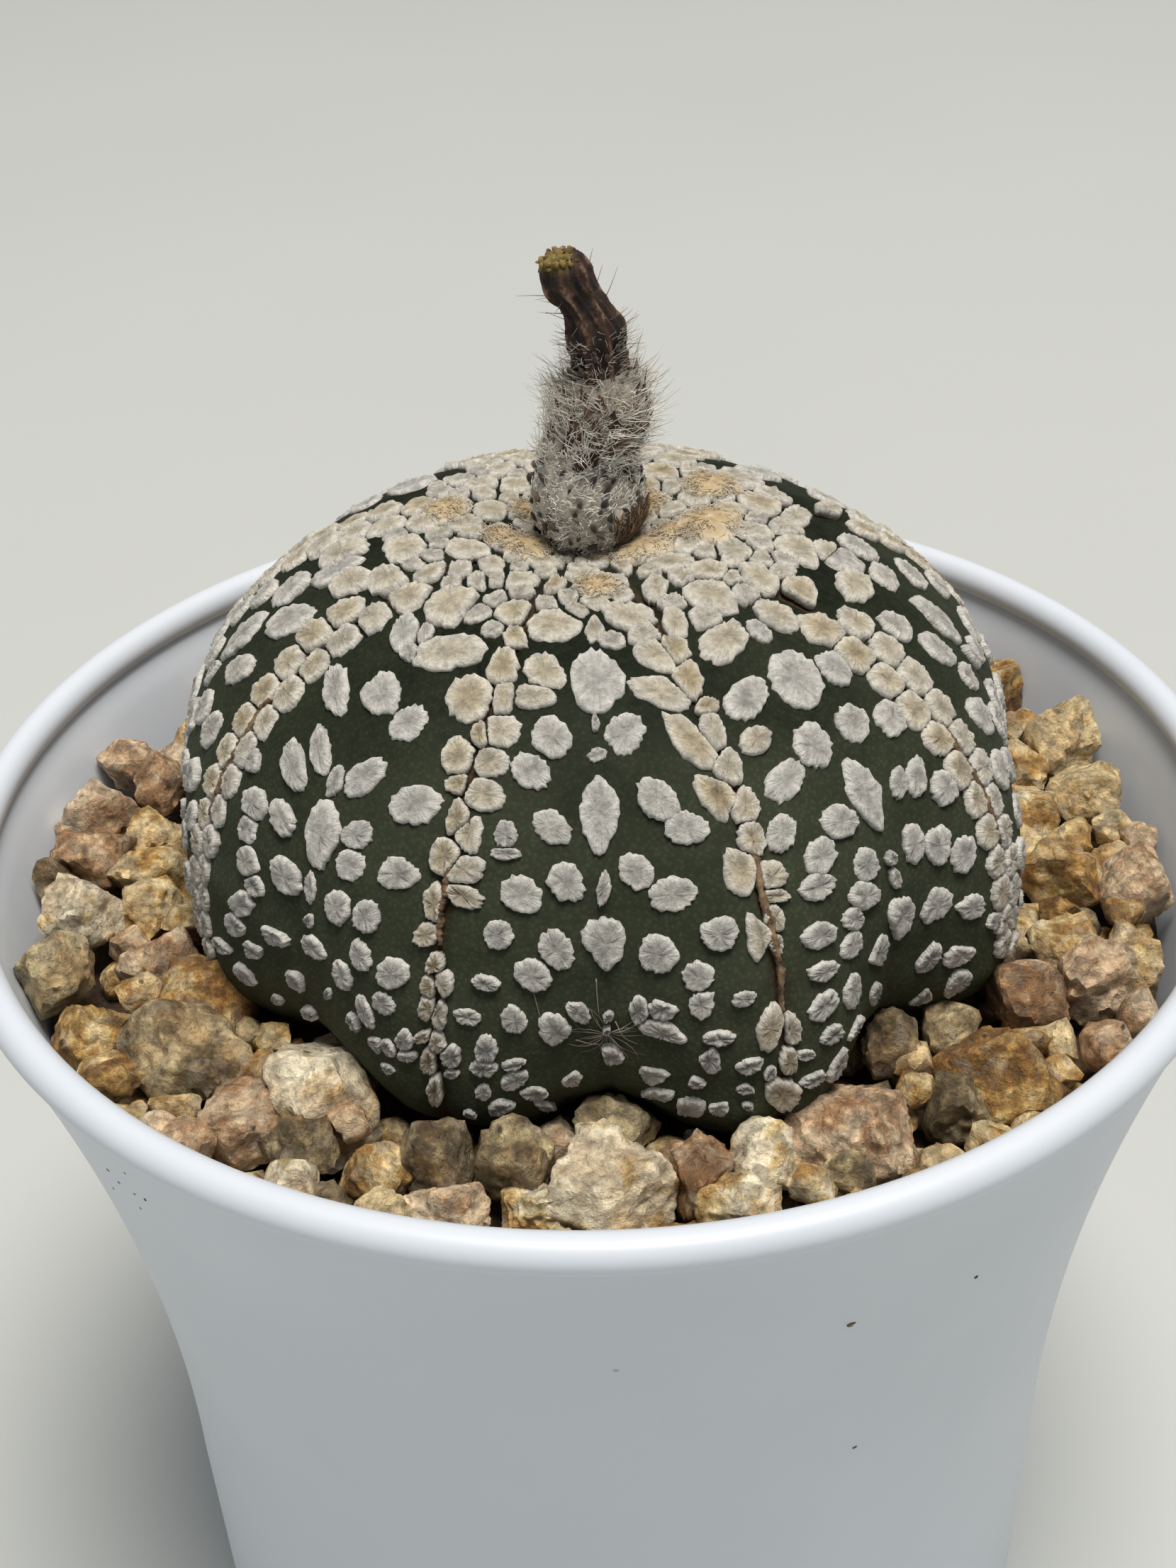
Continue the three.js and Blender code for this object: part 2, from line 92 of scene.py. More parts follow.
def add_node(tree: bpy.types.NodeTree, kind: str, *values: Any, stops: Sequence[tuple[float, str]] = (),
             **named: Any) -> bpy.types.Node:
    """Adds one shader node.

    Args:
        tree: node tree that takes the node.
        kind: the node's type, without its first word.
        values: what its open inputs take, in their order.
        stops: places and hex colours, where the node is a colour ramp.
        named: settings in small letters, and inputs by name.

    Returns:
        The new node.
    """
    node = tree.nodes.new("ShaderNode" + kind)
    for name in [name for name in named if name.islower()]:
        setattr(node, name, named.pop(name))
    feed(node, *values, **named)
    for i, (place, code) in enumerate(stops):
        ramp = node.color_ramp.elements
        stop = ramp[i] if i < len(ramp) else ramp.new(place)
        stop.position = place
        stop.color = linear(code)
    return node


@dataclass
class Shape:
    """Points in millimetres, the faces between them and four numbers kept at each point."""

    points: np.ndarray
    faces: list[np.ndarray]
    marks: np.ndarray | None = None

    def triangles(self) -> int:
        """Number of triangles that the faces make."""
        return sum(len(group) * (group.shape[1] - 2) for group in self.faces)


def joined(shapes: Sequence[Shape]) -> Shape:
    """Puts several shapes into one.

    Args:
        shapes: shapes that all have marks, or all have none.

    Returns:
        One shape with the points and faces of all.
    """
    faces: dict[int, list[np.ndarray]] = {}
    start = 0
    for shape in shapes:
        for group in shape.faces:
            faces.setdefault(group.shape[1], []).append(group + start)
        start += len(shape.points)
    marks = None if shapes[0].marks is None else np.concatenate([s.marks for s in shapes])
    return Shape(np.concatenate([s.points for s in shapes]),
                 [np.concatenate(groups) for groups in faces.values()], marks)


def grid_faces(rows: int, columns: int) -> np.ndarray:
    """Four-cornered faces of rings of points that close on themselves."""
    row, column = np.meshgrid(np.arange(rows - 1), np.arange(columns), indexing="ij")
    first, after = row * columns + column, row * columns + (column + 1) % columns
    return np.stack([first, first + columns, after + columns, after], axis=-1).reshape(-1, 4)


def fan_faces(middle: int, start: int, columns: int, outward: bool) -> np.ndarray:
    """Triangles from one middle point to a ring of points."""
    here = start + np.arange(columns)
    after = start + (np.arange(columns) + 1) % columns
    ends = (after, here) if outward else (here, after)
    return np.stack([np.full(columns, middle), ends[0], ends[1]], axis=-1)


def closed_rings(rings: np.ndarray, first: np.ndarray, last: np.ndarray,
                 marks: np.ndarray | None = None) -> Shape:
    """A closed skin over rings of points with a point at each end.

    Args:
        rings: points, ring by ring.
        first: point that closes the first ring.
        last: point that closes the last ring.
        marks: four numbers a point, for the rings and then the two ends.

    Returns:
        The closed shape.
    """
    rows, columns = rings.shape[:2]
    points = np.concatenate([rings.reshape(-1, 3), [first], [last]])
    count = rows * columns
    caps = np.concatenate([fan_faces(count, 0, columns, False),
                           fan_faces(count + 1, count - columns, columns, True)])
    return Shape(points, [grid_faces(rows, columns), caps], marks)


def marked(count: int, first: Any, second: Any = 0.0) -> np.ndarray:
    """Four numbers for each of so many points or hairs: the first two as given, the others nought."""
    marks = np.zeros((count, 4))
    marks[:, 0], marks[:, 1] = first, second
    return marks


def unit(vectors: np.ndarray) -> np.ndarray:
    """Vectors drawn out or in to length 1."""
    return vectors / np.maximum(np.linalg.norm(vectors, axis=-1, keepdims=True), 1e-9)


def lumps(points: np.ndarray, size: float, seed: int, waves: int = 9) -> np.ndarray:
    """Smooth unevenness made of crossed waves.

    Args:
        points: places to read it at.
        size: length of a wave, in the unit of the points.
        seed: picks the waves.
        waves: how many are crossed.

    Returns:
        One number a point, mostly between -1 and 1.
    """
    rng = default_rng(seed)
    directions = unit(rng.normal(size=(waves, points.shape[-1])))
    stretch = rng.uniform(0.75, 1.4, waves)
    phases = rng.uniform(0, TURN, waves)
    waved = np.sin(points @ (directions.T * stretch) * TURN / size + phases)
    return waved.sum(axis=-1) * 0.9 / math.sqrt(waves)


def curve_points(knots: np.ndarray, parts: np.ndarray) -> np.ndarray:
    """Places on a smooth curve through knots.

    Args:
        knots: one row a knot, evenly spaced along the curve.
        parts: places as parts of the whole, 0 to 1.

    Returns:
        One row a place.
    """
    knots = np.asarray(knots, dtype=float)
    if knots.ndim == 1:
        knots = knots[:, None]
    padded = np.concatenate([[2 * knots[0] - knots[1]], knots, [2 * knots[-1] - knots[-2]]])
    place = np.clip(parts, 0, 1) * (len(knots) - 1)
    step = np.minimum(place.astype(int), len(knots) - 2)
    t = (place - step)[:, None]
    a, b, c, d = (padded[step + i] for i in range(4))
    return 0.5 * (2 * b + (c - a) * t + (2 * a - 5 * b + 4 * c - d) * t ** 2
                  + (3 * b - a - 3 * c + d) * t ** 3)


def strands(paths: np.ndarray, radii: np.ndarray, marks: np.ndarray | None = None) -> Shape:
    """Thin closed three-sided hairs along paths.

    Args:
        paths: places, hair by hair and step by step.
        radii: half thickness at each step, for all hairs alike or hair by hair.
        marks: four numbers a hair.

    Returns:
        One shape with all the hairs.
    """
    count, steps = paths.shape[:2]
    along = unit(np.gradient(paths, axis=1))
    helper = np.where(np.abs(along[..., 2:3]) < 0.9, [[[0.0, 0.0, 1.0]]], [[[1.0, 0.0, 0.0]]])
    side = unit(np.cross(along, helper))
    other = np.cross(along, side)
    turns = np.arange(3) * TURN / 3
    reach = np.broadcast_to(radii, (count, steps))[..., None, None]
    ring = (np.cos(turns)[:, None] * side[:, :, None] + np.sin(turns)[:, None] * other[:, :, None])
    points = (paths[:, :, None] + reach * ring).reshape(-1, 3)
    walls = grid_faces(steps, 3)
    each = steps * 3
    start = (np.arange(count) * each)[:, None, None]
    quads = (walls[None] + start).reshape(-1, 4)
    ends = np.array([[0, 1, 2], [each - 1, each - 2, each - 3]])
    caps = (ends[None] + start).reshape(-1, 3)
    spread = None if marks is None else np.repeat(marks, each, axis=0)
    return Shape(points, [quads[:, ::-1], caps[:, ::-1]], spread)


def ball(level: int) -> Shape:
    """A unit ball of even triangles, finer with each level."""
    mesh = bmesh.new()
    bmesh.ops.create_icosphere(mesh, subdivisions=level, radius=1)
    points = np.array([v.co[:] for v in mesh.verts])
    faces = np.array([[v.index for v in f.verts] for f in mesh.faces])
    mesh.free()
    return Shape(points, [faces])


def turned(profile: np.ndarray, sides: int) -> np.ndarray:
    """Rings of points: a profile of radii and heights, turned round the upright axis."""
    turns = np.arange(sides) / sides * TURN
    radii, heights = profile[:, :1], profile[:, 1:]
    return np.stack([radii * np.cos(turns), radii * np.sin(turns), np.repeat(heights, sides, axis=1)],
                    axis=-1)


def linked(name: str, data: bpy.types.ID) -> bpy.types.Object:
    """A new object that shows this data in the scene."""
    made = bpy.data.objects.new(name, data)
    bpy.context.scene.collection.objects.link(made)
    return made


class Slot(Enum):
    """Material slots of the record."""

    PLASTIC = "white_plastic"
    SOIL = "soil"
    GRIT = "granite_grit"
    SKIN = "cactus_skin"
    WOOL = "wool"
    FLOWER = "dried_flower"


@dataclass(frozen=True)
class Finish:
    """A finish, made into a material the first time it is asked for."""

    name: str

    def material(self) -> bpy.types.Material:
        """The finish as a Blender material."""
        made = bpy.data.materials.get(self.name)
        if made:
            return made
        made = bpy.data.materials.new(self.name)
        made.use_nodes = True
        shader = next(n for n in made.node_tree.nodes if n.type == "BSDF_PRINCIPLED")
        add = partial(add_node, made.node_tree)
        self.shade(add, shader, add("TexCoord").outputs["Object"])
        return made

    def shade(self, add: Callable[..., bpy.types.Node], shader: bpy.types.Node,
              place: bpy.types.NodeSocket) -> None:
        """Adds the finish's own nodes.

        Args:
            add: adds a node to the material.
            shader: the material's main shader.
            place: object coordinates in metres.
        """
        raise NotImplementedError

    @staticmethod
    def marks(add: Callable[..., bpy.types.Node]) -> tuple[Any, Any, Any, Any]:
        """The four numbers that the mesh keeps at each point, as sockets."""
        kept = add("Attribute", attribute_name="marks")
        return tuple(add("SeparateColor", kept.outputs["Color"]).outputs)[:3] + (kept.outputs["Alpha"],)


def piece(name: str, shape: Shape, finish: Finish, sharp: float = 180.0,
          stands_for: Sequence[str] = ()) -> bpy.types.Object:
    """Makes one piece of the visual model and says what it is.

    Args:
        name: the piece's name.
        shape: its points and faces in millimetres.
        finish: its finish.
        sharp: edges that bend more than this many degrees stay sharp.
        stands_for: CAD nodes that it replaces.

    Returns:
        The new object.
    """
    mesh = bpy.data.meshes.new(name)
    counts = np.concatenate([np.full(len(g), g.shape[1]) for g in shape.faces])
    corners = np.concatenate([g.ravel() for g in shape.faces])
    mesh.vertices.add(len(shape.points))
    mesh.vertices.foreach_set("co", (shape.points * MM).astype(np.float32).ravel())
    mesh.loops.add(len(corners))
    mesh.loops.foreach_set("vertex_index", corners.astype(np.int32))
    mesh.polygons.add(len(counts))
    mesh.polygons.foreach_set("loop_start", np.concatenate([[0], np.cumsum(counts)[:-1]]).astype(np.int32))
    mesh.polygons.foreach_set("use_smooth", np.ones(len(counts), dtype=bool))
    mesh.update(calc_edges=True)
    mesh.validate()
    if shape.marks is not None:
        colours = mesh.color_attributes.new("marks", "FLOAT_COLOR", "POINT")
        colours.data.foreach_set("color", shape.marks.astype(np.float32).ravel())
    if sharp < 180:
        mesh.set_sharp_from_angle(angle=math.radians(sharp))
    made = linked(name, mesh)
    mesh.materials.append(finish.material())
    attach(made, "root")
    if stands_for:
        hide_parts(*stands_for)
    log.info("%s: %d triangles, %s", name, shape.triangles(), finish.name)
    return made


@dataclass(frozen=True)
class Polypropylene(Finish):
    """White polypropylene, injection moulded: milky, softly glossy, with a trace of dust."""

    name: str = "white_polypropylene_moulded"
    # Painted shade: body and dull are greyer and bluer than white plastic, standing in for the shade on the
    # pot's wall
    body: str = "#d9dfe7"
    dull: str = "#cdd4de"
    dust: str = "#b9b2a3"

    def shade(self, add, shader, place) -> None:
        """Milky white, tinted grey-blue as painted shade of the wall; it lets a little light through, is
        dulled in clouds and dusted in specks.
        """
        clouds = add("TexNoise", place, per_mm(24), 3.0)
        white = add("Mix", clouds, self.body, self.dull, data_type="RGBA")
        # Dust grains sit about 6 mm apart and only one in a dozen is big enough to see
        grains = add("TexVoronoi", place, per_mm(6))
        near = add("Math", grains, 0.05, operation="LESS_THAN")
        rare = add("Math", add("SeparateColor", grains.outputs["Color"]), 0.86, operation="GREATER_THAN")
        speck = add("Math", near, rare, operation="MULTIPLY")
        # The mould's skin waves by a few hundredths of a millimetre
        bump = add("Bump", Height=add("TexNoise", place, per_mm(3.5), 4.0), Strength=0.12,
                   Distance=0.05 * MM)
        feed(shader, Base_Color=add("Mix", speck, white, self.dust, data_type="RGBA"), Normal=bump, IOR=1.49,
             Roughness=add("MapRange", clouds, 0.0, 1.0, 0.34, 0.5), Subsurface_Weight=0.35,
             Subsurface_Radius=(1.0, 0.95, 0.9), Subsurface_Scale=1.6 * MM)


@dataclass(frozen=True)
class MineralMix(Finish):
    """Potting mix of pumice, bark and loam: dark, matt and crumbly."""

    name: str = "mineral_potting_mix"
    loam: str = "#3a2c20"
    bark: str = "#57412c"
    pumice: str = "#a39885"

    def shade(self, add, shader, place) -> None:
        """Dark crumbs 2 mm across with pale pumice grains among them."""
        crumbs = add("TexVoronoi", place, per_mm(2))
        red, green, _ = add("SeparateColor", crumbs.outputs["Color"]).outputs
        dark = add("ValToRGB", red, stops=((0.0, self.loam), (0.75, self.bark)))
        pale = add("Math", green, 0.85, operation="GREATER_THAN")
        feed(shader, Base_Color=add("Mix", pale, dark, self.pumice, data_type="RGBA"), Roughness=0.95,
             Normal=add("Bump", Height=crumbs, Strength=0.9, Distance=0.8 * MM))


@dataclass(frozen=True)
class Granite(Finish):
    """Crushed, weathered granite: grains of feldspar and quartz under an iron stain.

    The marks hold the stone's own lightness.
    """

    name: str
    dark: str
    plain: str
    pale: str
    stain: str = "#cf9648"
    quartz: str = "#a89c89"
    mica: str = "#2d2924"
    grain: float = 1.1  # millimetres between grains
    stained: float = 0.35

    def shade(self, add, shader, place) -> None:
        """Soft clouds from rusty to pale, grains and pits at their real size."""
        own = add("MapRange", self.marks(add)[0], 0.0, 1.0, -0.12, 0.12)
        level = add("Math", add("TexNoise", place, per_mm(2.6), 7.0, 0.66), own, operation="ADD")
        cloud = add("ValToRGB", level, stops=((0.37, self.dark), (0.47, self.plain), (0.56, self.pale)))
        rusty = add("MapRange", add("TexNoise", place, per_mm(5), 6.0, 0.6), 0.46, 0.62, 0.0, self.stained)
        stained = add("Mix", rusty, cloud, self.stain, data_type="RGBA", blend_type="MULTIPLY")
        bent = add("TexNoise", place, per_mm(0.9), 4.0).outputs["Color"]
        shifted = add("VectorMath", bent, (0.0011, 0.0011, 0.0011), place, operation="MULTIPLY_ADD")
        grains = add("TexVoronoi", shifted, per_mm(self.grain))
        lightness, kind, _ = add("SeparateColor", grains.outputs["Color"]).outputs
        is_quartz = add("MapRange", kind, 0.7, 0.95, 0.0, 0.5)
        glassy = add("Mix", is_quartz, stained, self.quartz, data_type="RGBA")
        # Mica flakes are rare, and smaller than a grain
        flakes = add("TexVoronoi", shifted, per_mm(1.7))
        rare = add("MapRange", add("SeparateColor", flakes.outputs["Color"]), 0.8, 0.9, 0.0, 0.8)
        is_mica = add("Math", add("MapRange", flakes, 0.2, 0.12), rare, operation="MULTIPLY")
        specked = add("Mix", is_mica, glassy, self.mica, data_type="RGBA")
        # Each grain is a little lighter or darker, and the colour follows the bump: painted shade in the
        # pits and between the grains, painted highlight where the bumps rise
        pits = add("TexNoise", place, per_mm(0.8), 6.0, 0.72)
        light = add("MapRange", lightness, 0.0, 1.0, 0.82, 1.2)
        for span in ((grains, 0.3, 0.7, 1.06, 0.72), (pits, 0.3, 0.62, 0.54, 1.36)):
            light = add("Math", light, add("MapRange", *span), operation="MULTIPLY")
        relief = add("Bump", Height=grains, Strength=0.8, Distance=0.45 * MM, invert=True)
        feed(shader, Base_Color=add("VectorMath", specked, Scale=light, operation="SCALE"), IOR=1.54,
             Roughness=add("MapRange", kind, 0.7, 0.9, 0.85, 0.45),
             Normal=add("Bump", Height=pits, Strength=1.0, Distance=0.7 * MM, Normal=relief))


@dataclass(frozen=True)
class Epidermis(Finish):
    """Living skin of the cactus: dark grey-green, waxy matt, finely pocked by its breathing pores.

    The marks hold how near a point is to a seam, and how old its skin is.
    """

    name: str = "cactus_epidermis_waxy"
    deep: str = "#12160e"
    plain: str = "#1f2419"
    bloom: str = "#494e3d"
    cork: str = "#4a3a2b"

    def shade(self, add, shader, place) -> None:
        """Cells drawn 0.35 mm apart, coarser than real, under a cloudy waxy bloom; seams corky brown."""
        cells = add("TexVoronoi", place, per_mm(0.35))
        fine = add("TexNoise", place, per_mm(0.8), 4.0, 0.65)
        base = add("ValToRGB", fine, stops=((0.3, self.deep), (0.62, self.plain)))
        seam, age, _, _ = self.marks(add)
        clouds = add("MapRange", add("TexNoise", place, per_mm(9), 4.0), 0.45, 0.75, 0.0, 0.3)
        waxy = add("Math", age, 0.7, clouds, operation="MULTIPLY_ADD")
        bloomed = add("Mix", waxy, base, self.bloom, data_type="RGBA")
        corked = add("Mix", seam, bloomed, self.cork, data_type="RGBA")
        dots = add("MapRange", cells, 0.0, 0.55, 1.35, 0.85)
        bump = add("Bump", Height=cells, Strength=0.25, Distance=0.08 * MM)
        shader.inputs["Specular IOR Level"].default_value = 0.06
        feed(shader, Base_Color=add("VectorMath", corked, Scale=dots, operation="SCALE"),
             Roughness=add("MapRange", fine, 0.0, 1.0, 0.55, 0.8),
             Normal=add("Bump", Height=fine, Strength=0.35, Distance=0.15 * MM, Normal=bump))


@dataclass(frozen=True)
class FeltScale(Finish):
    """Woolly scale of a star cactus: white plant hairs matted to felt, browned with age.

    The marks hold how far out a point is on its scale, the scale's tint, and its direction.
    """

    name: str = "matted_trichome_felt"
    tints: tuple[tuple[float, str], ...] = (
        (0.0, "#d3d1cb"), (0.3, "#d8d3c7"), (0.55, "#dfd5bf"), (0.8, "#cfbf9f"), (1.0, "#b08d5e"))
    rim: str = "#eeebe4"

    def shade(self, add, shader, place) -> None:
        """Chalky matted hairs: pale clean ends at the rim, folds darkened and rises lightened as painted
        shade and highlight, browner middles on old scales.
        """
        out, tint, right, up = self.marks(add)
        # Cream scales are browner in the middle than at the rim
        old = add("MapRange", tint, 0.3, 0.5, 0.0, 1.0)
        aged = add("Math", add("MapRange", out, 0.2, 0.95, 0.1, -0.14), old, tint, operation="MULTIPLY_ADD")
        body = add("ValToRGB", aged, stops=self.tints)
        rimmed = add("Mix", add("MapRange", out, 0.6, 1.0, 0.0, 0.6), body, self.rim, data_type="RGBA")
        # Hairs run outward from the middle, about 0.2 mm apart, coarser than the real ones
        fibres = add("TexNoise", add("CombineXYZ", right, up, tint), 9.0, 2.0, 0.6)
        faint = add("Math", fibres, out, operation="MULTIPLY")
        matted = add("TexNoise", place, per_mm(0.62), 7.0, 0.72)
        both = add("Math", faint, 0.5, matted, operation="MULTIPLY_ADD")
        # Painted shade and highlight: the colour darkens in soft folds, and is lighter where the felt's bump
        # rises and darker where it sinks, besides the fibres' own tone
        folds = add("MapRange", add("TexNoise", place, per_mm(1.5), 4.0, 0.6), 0.36, 0.5, 0.72, 1.0)
        light = add("Math", add("MapRange", both, 0.48, 0.84, 0.6, 1.2), folds, operation="MULTIPLY")
        feed(shader, Base_Color=add("VectorMath", rimmed, Scale=light, operation="SCALE"), Roughness=0.95,
             Normal=add("Bump", Height=both, Strength=1.0, Distance=0.42 * MM))
        shader.inputs["Sheen Weight"].default_value = 0.12
        shader.inputs["Sheen Roughness"].default_value = 0.5


@dataclass(frozen=True)
class Cork(Finish):
    """Corky bark that grows up the old seams: dry, brown, split lengthwise."""

    name: str = "corky_seam_bark"
    dark: str = "#3c2b1e"
    light: str = "#93795a"

    def shade(self, add, shader, place) -> None:
        """Brown flakes 0.5 mm wide, pale where they lift."""
        flakes = add("TexNoise", place, per_mm(0.9), 6.0, 0.7)
        feed(shader, Base_Color=add("ValToRGB", flakes, stops=((0.36, self.dark), (0.62, self.light))),
             Normal=add("Bump", Height=flakes, Strength=1.0, Distance=0.3 * MM), Roughness=0.9)


@dataclass(frozen=True)
class PlantWool(Finish):
    """Dry plant wool in single strands, from white to grey-brown.

    The marks hold the strand's tint.
    """

    name: str
    tints: tuple[tuple[float, str], ...]

    def shade(self, add, shader, place) -> None:
        """Strands with their own tint, a little uneven along their length."""
        tint = add("ValToRGB", self.marks(add)[0], stops=self.tints)
        light = add("MapRange", add("TexNoise", place, per_mm(0.8), 3.0), 0.0, 1.0, 0.76, 1.24)
        feed(shader, Base_Color=add("VectorMath", tint, Scale=light, operation="SCALE"), Roughness=0.85)
        shader.inputs["Sheen Weight"].default_value = 0.3


@dataclass(frozen=True)
class DriedPetals(Finish):
    """Petals and tube of the flower, dried to brown papery pleats.

    The marks hold how deep in a pleat a point lies and how near the crumbled tip it is.
    """

    name: str = "dried_flower_tissue"
    # The hollow colour is painted shade deep in the pleats' folds, and the ridge colour painted highlight on
    # their crests
    hollow: str = "#180e09"
    plain: str = "#442a1c"
    ridge_highlight: str = "#9d8370"
    tip: str = "#8a7638"

    def shade(self, add, shader, place) -> None:
        """Painted shade dark in the folds and painted highlight pale on the pleats, blotched, yellow-brown
        at the crumbled tip.
        """
        depth, tip, _, _ = self.marks(add)
        blotches = add("TexNoise", place, per_mm(1.1), 6.0, 0.72)
        level = add("Math", depth, add("MapRange", blotches, 0.25, 0.75, -0.5, 0.5), operation="ADD",
                    use_clamp=True)
        brown = add("ValToRGB", level, stops=((0.15, self.hollow), (0.5, self.plain), (1.0, self.ridge_highlight)))
        feed(shader, Base_Color=add("Mix", tip, brown, self.tip, data_type="RGBA"), Roughness=0.82,
             Normal=add("Bump", Height=blotches, Strength=0.9, Distance=0.3 * MM))


@dataclass(frozen=True)
class PaleBoard(Finish):
    """Pale matt board under the pot."""

    name: str = "pale_studio_board"
    light: str = "#c5c8c6"
    dark: str = "#bec1bf"

    def shade(self, add, shader, place) -> None:
        """Barely clouded pale grey."""
        clouds = add("TexNoise", place, per_mm(160), 4.0)
        feed(shader, Base_Color=add("Mix", clouds, self.light, self.dark, data_type="RGBA"), Roughness=0.85)


OCHRE = Granite("granite_ochre", "#8f6836", "#c9a25e", "#f0d9a8", stained=0.3)
ROSE = Granite("granite_rose", "#9c7752", "#cca984", "#ecd4b2", stained=0.25)
GREY = Granite("granite_grey", "#6c5d42", "#a08d69", "#d3c196", stained=0.4)
CREAM = Granite("granite_cream", "#ba9054", "#e3c88f", "#f8ecce", stained=0.3)
BED = Granite("granite_fines_in_shade", "#33230f", "#4f3920", "#6b5233", quartz="#5d5140", grain=0.9)
WHITE_WOOL = PlantWool("areole_wool_white", ((0.0, "#6d6256"), (0.5, "#cac2b4"), (1.0, "#f8f5ec")))
TAN_WOOL = PlantWool("areole_wool_tan", ((0.0, "#a4895c"), (0.5, "#bfae8f"), (1.0, "#d3cbbc")))
DARK_HAIR = PlantWool("bract_bristle_dark", ((0.0, "#1d1611"), (0.6, "#54452f"), (1.0, "#8c7f6a")))
SOIL_DUST = MineralMix("dried_soil_specks", loam="#4a4136", bark="#6d6251", pumice="#8d8473")
DRY_FIBRE = PlantWool("dead_flesh_fibre", ((0.0, "#2e1e12"), (0.5, "#5f4328"), (1.0, "#a08052")))


@dataclass(frozen=True)
class PhotoCamera:
    """Camera at the photograph's view angle, which also turns a place in the picture into a ray."""

    place: tuple[float, float, float] = (0.0, -141.8, 184.7)
    pitch: float = 34.28  # degrees down
    roll: float = -2.08
    yaw: float = -0.27
    focal: float = 3068.0  # in pixels of the picture
    width: int = 1659
    height: int = 2212
    sensor: float = 36.0  # along the picture's long side

    @cached_property
    def axes(self) -> np.ndarray:
        """Right, up and forward, one row each."""
        pitch, roll, yaw = (math.radians(a) for a in (self.pitch, self.roll, self.yaw))
        forward = np.array([math.sin(yaw) * math.cos(pitch), math.cos(yaw) * math.cos(pitch),
                            -math.sin(pitch)])
        level = np.array([math.cos(yaw), -math.sin(yaw), 0.0])
        upright = np.cross(level, forward)
        right = math.cos(roll) * level + math.sin(roll) * upright
        up = -math.sin(roll) * level + math.cos(roll) * upright
        return np.array([right, up, forward])

    def ray(self, x: float, y: float) -> np.ndarray:
        """Direction in which a place in the picture is seen, one millimetre deep.

        Args:
            x: pixels from the picture's left.
            y: pixels from its top.

        Returns:
            The direction.
        """
        right, up, forward = self.axes
        return forward + (x - self.width / 2) / self.focal * right - (y - self.height / 2) / self.focal * up

    def make(self) -> None:
        """Adds the camera and makes it the scene's own."""
        data = bpy.data.cameras.new("camera")
        data.sensor_width = self.sensor
        data.lens = self.focal / self.height * self.sensor
        data.clip_start = 0.005
        data.clip_end = 20
        made = linked("camera", data)
        right, up, forward = self.axes
        turn = Matrix(np.array([right, up, -forward]).T.tolist()).to_4x4()
        made.matrix_world = Matrix.Translation(Vector(self.place) * MM) @ turn
        bpy.context.scene.camera = made


@dataclass
class Studio:
    """Plain pale board and soft light from above."""

    board_reach: float = 2600.0
    key_place: tuple[float, float, float] = (0.2, -0.3, 2.1)
    key_size: float = 1.0
    key_power: float = 50.0
    fill_place: tuple[float, float, float] = (-0.7, -0.5, 0.55)
    fill_size: float = 0.9
    fill_power: float = 0.4
    sky: str = "#e4e7ea"
    sky_strength: float = 0.30

    def light(self, name: str, place: tuple[float, float, float], size: float, power: float,
              colour: str) -> None:
        """Adds a soft lamp that faces the plant.

        Args:
            name: its name.
            place: metres.
            size: side of its square, metres.
            power: watts.
            colour: hex colour.
        """
        data = bpy.data.lights.new(name, "AREA")
        data.shape = "DISK"
        data.size = size
        data.energy = power
        data.color = linear(colour)[:3]
        made = linked(name, data)
        made.location = place
        aim = Vector((0, 0, 0.09)) - Vector(place)
        made.rotation_euler = aim.to_track_quat("-Z", "Y").to_euler()

    def build(self) -> None:
        """Makes the board, the lamps and the sky."""
        sides, radii = 96, (40.0, 200.0, 900.0, self.board_reach)
        rings = turned(np.array([(radius, 0.0) for radius in radii]), sides)
        points = np.concatenate([rings.reshape(-1, 3), [[0.0, 0.0, 0.0]]])
        faces = [*grid_faces(len(radii), sides), *fan_faces(len(radii) * sides, 0, sides, True)]
        mesh = bpy.data.meshes.new("board")
        mesh.from_pydata((points * MM).tolist(), [], [face.tolist() for face in faces])
        mesh.materials.append(PaleBoard().material())
        board = linked("board", mesh)
        self.light("key", self.key_place, self.key_size, self.key_power, "#fffaf2")
        self.light("fill", self.fill_place, self.fill_size, self.fill_power, "#eaeff6")
        world = bpy.data.worlds.new("sky")
        world.use_nodes = True
        sky = next(n for n in world.node_tree.nodes if n.type == "BACKGROUND")
        sky.inputs["Color"].default_value = linear(self.sky)
        sky.inputs["Strength"].default_value = self.sky_strength
        bpy.context.scene.world = world
        bpy.context.scene.view_settings.view_transform = "Standard"


